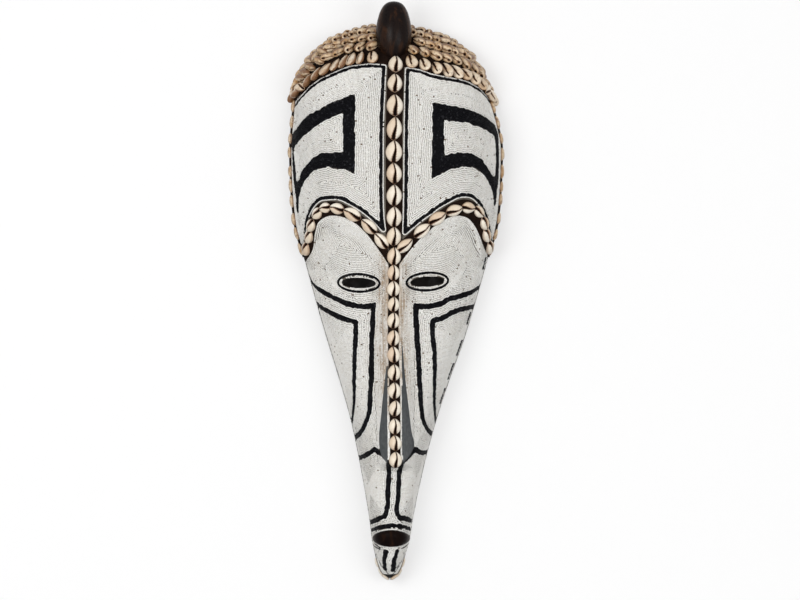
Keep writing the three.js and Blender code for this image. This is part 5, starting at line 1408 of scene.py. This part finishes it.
# Sideways places of the shells in front, as far as they show; the rows go on round the sides.
CAP_SHELLS = {
    ("left", 0): [-28.5, -43.5, -54.5, -64, -74, -86, -97, -107, -116],
    ("right", 0): [19.6, 35.6, 50.5, 63, 74.4, 85.6, 95.6, 104, 112.5],
    ("left", 1): [-28.5, -43, -56.5, -69.5, -82, -93.5, -104],
    ("right", 1): [20.5, 35, 48.5, 61, 73, 84.5, 95],
}
for row in range(CAP_ROWS):
    distance = (row + 0.5) * CAP_PITCH - (2.2 if row == 0 else 0)
    across = np.linspace(-1, 1, 700)
    height = height_behind(across, distance)
    p = surface(across, height)
    real = np.abs(behind_hair(p) - distance) < 0.5
    for side, sign in SIDES:
        fixed = CAP_SHELLS.get((side, row), [])
        start = fixed[-1] if fixed else 0
        keep = real & (p[:, 0] * sign > max(start * sign, 2))
        line = np.stack([across, height], -1)[keep]
        if len(line) < 8:
            continue
        if sign < 0:
            line = line[::-1]
        pitch = CAP_SHELL_PITCH if row else FIRST_SHELL_PITCH
        at, _ = along_line(line, pitch, pitch if fixed else rng.uniform(0.2, 0.5) * pitch, 3)
        if fixed:
            first = np.interp(fixed, p[real, 0], across[real])
            at = np.concatenate([np.stack([first, height_behind(first, distance)], -1), at])
        spots, ups = surface(*at.T), normals(*at.T)
        step = 0.01
        row_way = unit(surface(at[:, 0] + step, height_behind(at[:, 0] + step, distance))
                       - surface(at[:, 0] - step, height_behind(at[:, 0] - step, distance)))
        uphill = np.cross(ups, row_way)
        uphill *= np.sign(uphill[:, 2:3] + 1e-9)
        places = []
        for spot, up, way, hill in zip(spots, ups, row_way, uphill):
            near = math.hypot(spot[0] - KNOB_X, spot[1] - KNOB_Y)
            if near < (KNOB_RADIUS + 4 if row > 1 else KNOB_RADIUS - 6):
                continue
            degrees = (np.interp(spot[0], *FIRST_ROW_LEAN) if row == 0
                       else UPPER_LEAN[side][min(row, 4) - 1])
            lean = math.radians(degrees + rng.normal(0, 4 if row == 0 else 9))
            want = np.array([-sign * math.sin(lean), math.cos(lean)])
            seen = np.array([[way[0], hill[0]], [way[2], hill[2]]])
            a, b = np.linalg.solve(seen, want) if abs(np.linalg.det(seen)) > 0.12 else (
                -sign * math.sin(math.radians(40)), 1)
            if abs(spot[0]) > FLANK:
                a = min(max(a, -0.8 * abs(b)), 0.8 * abs(b))
            along = unit(a * way + b * hill)
            roll = math.radians(78 if row else np.interp(abs(spot[0]), (25, 60), (8, 34)))
            roll += rng.normal(0, 0.2)
            aside = np.cross(up, along)
            # The lower end stands proud.
            face = unit(up * math.cos(roll) + aside * math.sin(roll) * (sign if row else 1)
                        + along * 0.2)
            lift = CAP_SHELL_LIFT if row else FIRST_SHELL_LIFT
            places.append((spot + up * lift, face, along - up * 0.2))
        if places:
            nodes = [f"{side}_cap_row_{row + 1}"] if row < 3 else [f"cap_row_{min(row, 4) + 1}"]
            whole_cowries(f"{side}_cap_cowries_{row + 1}", nodes, places, cap_shapes[row > 0],
                          SHELL_SIZES["cap" if row else "first_row"],
                          FIRST_COWRIE if row == 0 else CAP_COWRIE)

# Knob and mouth.
KNOB_PROFILE = [
    (0, 0), (0.27, 0.025), (0.5, 0.0875), (0.7, 0.1625), (0.85, 0.244), (0.985, 0.4),
    (1, 0.556), (0.91, 0.7125), (0.745, 0.855), (0.58, 0.93), (0.4, 0.973), (0.2, 0.994), (0, 1),
]
profile = curve_through(np.array(KNOB_PROFILE) * (KNOB_RADIUS, KNOB_HEIGHT), step=1.3)
turn = np.linspace(0, 2 * np.pi, 72, endpoint=False)
knob = np.stack([KNOB_X + profile[:, :1] * np.cos(turn), KNOB_Y + profile[:, :1] * np.sin(turn),
                 KNOB_FOOT + profile[:, 1:] + 0 * turn], -1)
piece = make_piece("crest_knob_turned", knob.reshape(-1, 3), grid_faces(len(profile), 72, True),
                   [POLISHED])
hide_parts("crest_knob")

MOUTH_PROUD = 4.6
turn = np.linspace(0, 2 * np.pi, 72, endpoint=False)
radius = np.linspace(1, 0, 16)
spread = radius[:, None] * np.stack([np.cos(turn), np.sin(turn)], 0)[:, None, :]
lip_x = MOUTH[0] * FACE_HALF_WIDTH + spread[0] * MOUTH[2]
lip_height = MOUTH[1] * MASK_HEIGHT + spread[1] * MOUTH[3]
dome = np.sqrt(np.clip(1 - radius**2.6, 0, 1)) * MOUTH_PROUD
across = across_at(lip_x, lip_height)
lips = np.concatenate([offset_point(across[:1], lip_height[:1], -2.3 + 0 * across[:1]),
                       offset_point(across, lip_height, dome[:, None] + 0 * across)])
piece = make_piece("mouth_lips_polished", lips.reshape(-1, 3), grid_faces(17, 72, True), [LIPS])
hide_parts("mouth_lips")

# Bare, painted flanks of the nose.
for side, sign in SIDES:
    outline = flank_outlines[side]
    heights = np.linspace(outline[:, 1].min() + 0.3, outline[:, 1].max() - 0.3, 110)
    spans = [crossings(outline, h)[[0, -1]] for h in heights]
    low, high = np.array(spans).T[..., None]
    xs = low + (high - low) * np.linspace(0, 1, 14)
    height = heights[:, None]
    cloth_piece(side + "_nose_flank", across_at(xs, height), height, -0.9, PAINTED,
                1.3)


# Cuts.
def prism_of(outline, y_from, y_to):
    """A closed block through the mask from an outline seen from the front, for cuts."""
    count = len(outline)
    points = [np.stack([outline[:, 0], np.full(count, y), outline[:, 1]], -1)
              for y in (y_from, y_to)]
    mesh = bpy.data.meshes.new("cut")
    ring = np.arange(count)
    after = np.roll(ring, -1)
    walls = np.stack([ring, after, after + count, ring + count], -1).tolist()
    mesh.from_pydata(to_world(np.concatenate(points)).tolist(), [],
                     [ring[::-1].tolist(), (ring + count).tolist()] + walls)
    mesh.update()
    return turned_out(mesh)


def turned_out(mesh):
    """Turns the faces of a closed mesh so that they look outwards."""
    import bmesh
    work = bmesh.new()
    work.from_mesh(mesh)
    bmesh.ops.recalc_face_normals(work, faces=work.faces)
    work.to_mesh(mesh)
    work.free()
    return mesh


def carve(piece, cutters):
    """Takes the cutters out of a piece and keeps its finish."""
    for mesh in cutters:
        tool = in_scene("cut", mesh)
        step = piece.modifiers.new("cut", "BOOLEAN")
        step.object, step.operation, step.solver = tool, "DIFFERENCE", "EXACT"
        bpy.context.view_layer.update()
        done = bpy.data.meshes.new_from_object(
            piece.evaluated_get(bpy.context.evaluated_depsgraph_get()))
        piece.modifiers.clear()
        piece.data = done
        bpy.data.objects.remove(tool)


eye_cuts = [prism_of(eye_oval(side, 0), 20, -200) for side, _ in SIDES]
across = np.linspace(-1, 1, 221)[None, :]
height = np.linspace(0.2, MASK_HEIGHT - 0.2, 330)[:, None]
dark_ground = np.isin(label, hard) | ((HEIGHTS[:, None] < CHIN_TIP) & on_face)
under_black = box_mean(dark_ground.astype(float), 1)[
    np.round(height * (ROWS - 1) / MASK_HEIGHT).astype(int),
    np.round(np.interp(across, ACROSS, np.arange(COLUMNS))).astype(int)].ravel()
ground = cloth_piece("ground_cloth", across, height, -1.3, GROUND, 1.1,
                     {"black": np.tile(under_black, 2)})
carve(ground, eye_cuts)


# Wood: the outer grid closed by the rim plane, less the hollow, the eye slits and the pocket.
def block_piece(name, grid, material):
    """A closed body from a grid whose left and right columns and end rows lie in flat faces."""
    rows, columns = grid.shape[:2]
    index = np.arange(rows * columns).reshape(rows, columns)
    mesh = bpy.data.meshes.new(name)
    back = [[*index[::-1, 0].tolist(), *index[:, -1].tolist()]]
    ends = [index[0, ::-1].tolist(), index[-1].tolist()]
    mesh.from_pydata(to_world(grid.reshape(-1, 3)).tolist(), [],
                     grid_faces(rows, columns).tolist() + back + ends)
    mesh.update()
    turned_out(mesh)
    mesh.materials.append(material)
    return mesh


across = np.sin(np.linspace(-np.pi / 2, np.pi / 2, 150))
height = np.linspace(0.2, MASK_HEIGHT - 0.2, 260)[:, None]
outer = offset_point(across[None, :] + 0 * height, height + 0 * across[None, :],
                     WOOD_OFFSET + 0 * (height + across[None, :]))
outer[:, [0, -1], 1] = 0
shell_mesh = block_piece("carved_shell_wood", outer, WOOD)
turn = np.linspace(math.radians(HOLLOW_START_TURN), math.pi - math.radians(HOLLOW_START_TURN), 120)
height = HOLLOW_BOTTOM + (HOLLOW_TOP - HOLLOW_BOTTOM) * (1 - np.cos(turn)) / 2
half, middle, depth, _ = section(height)
taper = np.sin(turn) ** HOLLOW_END_POWER
turn = np.linspace(-np.pi / 2, np.pi / 2, 90)
xs = middle[:, None] + ((half - RIM_WALL) * taper)[:, None] * np.sin(turn)
ys = -((depth - FRONT_WALL) * taper)[:, None] * np.cos(turn)
facets = np.sin(xs * 0.33 + 2 * np.sin(height[:, None] * 0.05)) * np.sin(height[:, None] * 0.21
                                                                       + 1.5 * np.sin(xs * 0.06))
ys = np.minimum(ys + 0.5 * np.abs(facets) * np.cos(turn), 0)
hollow = np.stack([xs, ys, height[:, None] + 0 * xs], -1)
hollow = np.concatenate([hollow[:, :1] + (0, 5, 0), hollow, hollow[:, -1:] + (0, 5, 0)], 1)
hollow_mesh = block_piece("hollow", hollow, WOOD)
pocket = np.array([(-26, 646), (26, 646), (26, 670), (-26, 670)], float)
shell = in_scene("carved_shell_wood", shell_mesh)
carve(shell, [hollow_mesh, prism_of(pocket, 5, -4), *eye_cuts])
shell.data.set_sharp_from_angle(angle=math.radians(35))
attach(shell, "root")
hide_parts("carved_shell")

# Wall and floor.
def plane(name, corners, material):
    mesh = bpy.data.meshes.new(name)
    mesh.from_pydata(corners, [], [[0, 1, 2, 3]])
    mesh.materials.append(material)
    thing = in_scene(name, mesh)
    return thing


def seen_directly(tree):
    """1 for rays from the camera, from reflections and through glass, and 0 for other rays."""
    path, add, total = (tree.nodes.new(kind) for kind in (
        "ShaderNodeLightPath", "ShaderNodeMath", "ShaderNodeMath"))
    total.use_clamp = True
    tree.links.new(path.outputs["Is Camera Ray"], add.inputs[0])
    tree.links.new(path.outputs["Is Glossy Ray"], add.inputs[1])
    tree.links.new(add.outputs[0], total.inputs[0])
    tree.links.new(path.outputs["Is Transmission Ray"], total.inputs[1])
    return total.outputs[0]


# Painted shade: the wall behind the hollow is painted dark, and a faint glow in specks there, for
# the camera, stands for grey glints inside the eye slits.
SHADE_MIDDLE, SHADE_REACH = (0, 0, -0.26), (0.085, 0.095)
# Where the floor runs into the white of the world.
HORIZON = (1.5, 3.0)


def backdrop_finish(name, glow, shade):
    """Pale paint that glows a little for the camera only and is clear from behind."""
    n = Nodes(name)
    tree = n.tree
    new = tree.nodes.new
    n.set(Roughness=1.0, Specular_IOR_Level=0.0)

    def distance(middle, reach):
        away, span = new("ShaderNodeVectorMath"), new("ShaderNodeMapRange")
        away.operation = "DISTANCE"
        away.inputs[1].default_value = middle
        span.inputs["From Min"].default_value, span.inputs["From Max"].default_value = reach
        n.link(n.place, away.inputs[0])
        n.link(away.outputs["Value"], span.inputs["Value"])
        return span.outputs["Result"]

    lit, horizon = distance(SHADE_MIDDLE, SHADE_REACH), distance((0, 0, 0), HORIZON)
    paint = n.grey(n.noise(30), (0.0, shade), (1.0, shade * 1.02))
    paint = n.mix(horizon, paint, (0.0, 0.0, 0.0))
    # Painted shade: dark paint on the wall behind the hollow.
    n.set(Base_Color=n.mix(lit, n.grey(n.noise(60), (0.4, 0.02), (0.6, 0.05)), paint))
    strength = n.math("MULTIPLY_ADD", horizon, 1 - glow, glow)
    # Painted glints: faintly glowing specks in the painted shade behind the hollow.
    painted_glints = n.grey(n.noise(45), (0.45, 0.008), (0.62, 0.03))
    bright = n.mix(lit, painted_glints, (1.0, 1.0, 1.0))
    n.set(Emission_Color=bright,
          Emission_Strength=n.math("MULTIPLY", strength, seen_directly(tree)))
    clear, side, mixed = (new(kind) for kind in (
        "ShaderNodeBsdfTransparent", "ShaderNodeNewGeometry", "ShaderNodeMixShader"))
    for a, b in ((side.outputs["Backfacing"], mixed.inputs[0]),
                 (n.shader.outputs[0], mixed.inputs[1]), (clear.outputs[0], mixed.inputs[2]),
                 (mixed.outputs[0], tree.nodes["Material Output"].inputs["Surface"])):
        n.link(a, b)
    return n.material


WALL_Y, FLOOR_Z, STAGE_REACH = 0.003, -1.3, 4
backdrop = backdrop_finish("backdrop_paint", glow=0.52, shade=0.43)
ends = (-STAGE_REACH, STAGE_REACH, STAGE_REACH, -STAGE_REACH)
wall = plane("backdrop_wall", [(x, WALL_Y, z) for x, z in zip(
    ends, (FLOOR_Z, FLOOR_Z, STAGE_REACH, STAGE_REACH))], backdrop)
plane("backdrop_floor", [(x, y, FLOOR_Z) for x, y in zip(ends, sorted(ends))], backdrop)
wall.visible_shadow = False
wall.visible_diffuse = False

world = bpy.data.worlds.new("studio")
bpy.context.scene.world = world
world.use_nodes = True
tree = world.node_tree
sky = tree.nodes["Background"]
LIGHT_OF_WORLD, WHITE_OF_WORLD = 0.6, 1.0
level_mix = tree.nodes.new("ShaderNodeMix")
level_mix.inputs["A"].default_value = LIGHT_OF_WORLD
level_mix.inputs["B"].default_value = WHITE_OF_WORLD
tree.links.new(seen_directly(tree), level_mix.inputs["Factor"])
tree.links.new(level_mix.outputs["Result"], sky.inputs["Strength"])
sky.inputs["Color"].default_value = (1, 1, 1, 1)


def area_light(name, place, target, size, power):
    data = bpy.data.lights.new(name, "AREA")
    data.energy, data.size = power, size
    lamp = in_scene(name, data)
    lamp.location = place
    lamp.rotation_euler = (Vector(target) - Vector(place)).to_track_quat("-Z", "Y").to_euler()


# Lights by name: place and size in metres, and power in watts.
LIGHTS = {"key_light": ((-1.4, -2.9, -0.1), 1.5, 47), "fill_light": ((1.5, -2.8, -0.7), 1.8, 38),
          "back_light": ((1.8, 2.6, 1.3), 2.0, 45)}
MIDDLE = (0, -0.05, -0.31)
for name, (place, size, power) in LIGHTS.items():
    area_light(name, place, MIDDLE, size, power)

CAMERA_PLACE, LENS, SENSOR = (0.0056, -10.05, -0.3088), 360, 36
camera = bpy.data.cameras.new("photo_camera")
camera.lens, camera.sensor_width = LENS, SENSOR
eye = in_scene("photo_camera", camera)
eye.location = CAMERA_PLACE
eye.rotation_euler = (math.pi / 2, 0, 0)
bpy.context.scene.camera = eye
bpy.context.scene.view_settings.view_transform = "Standard"
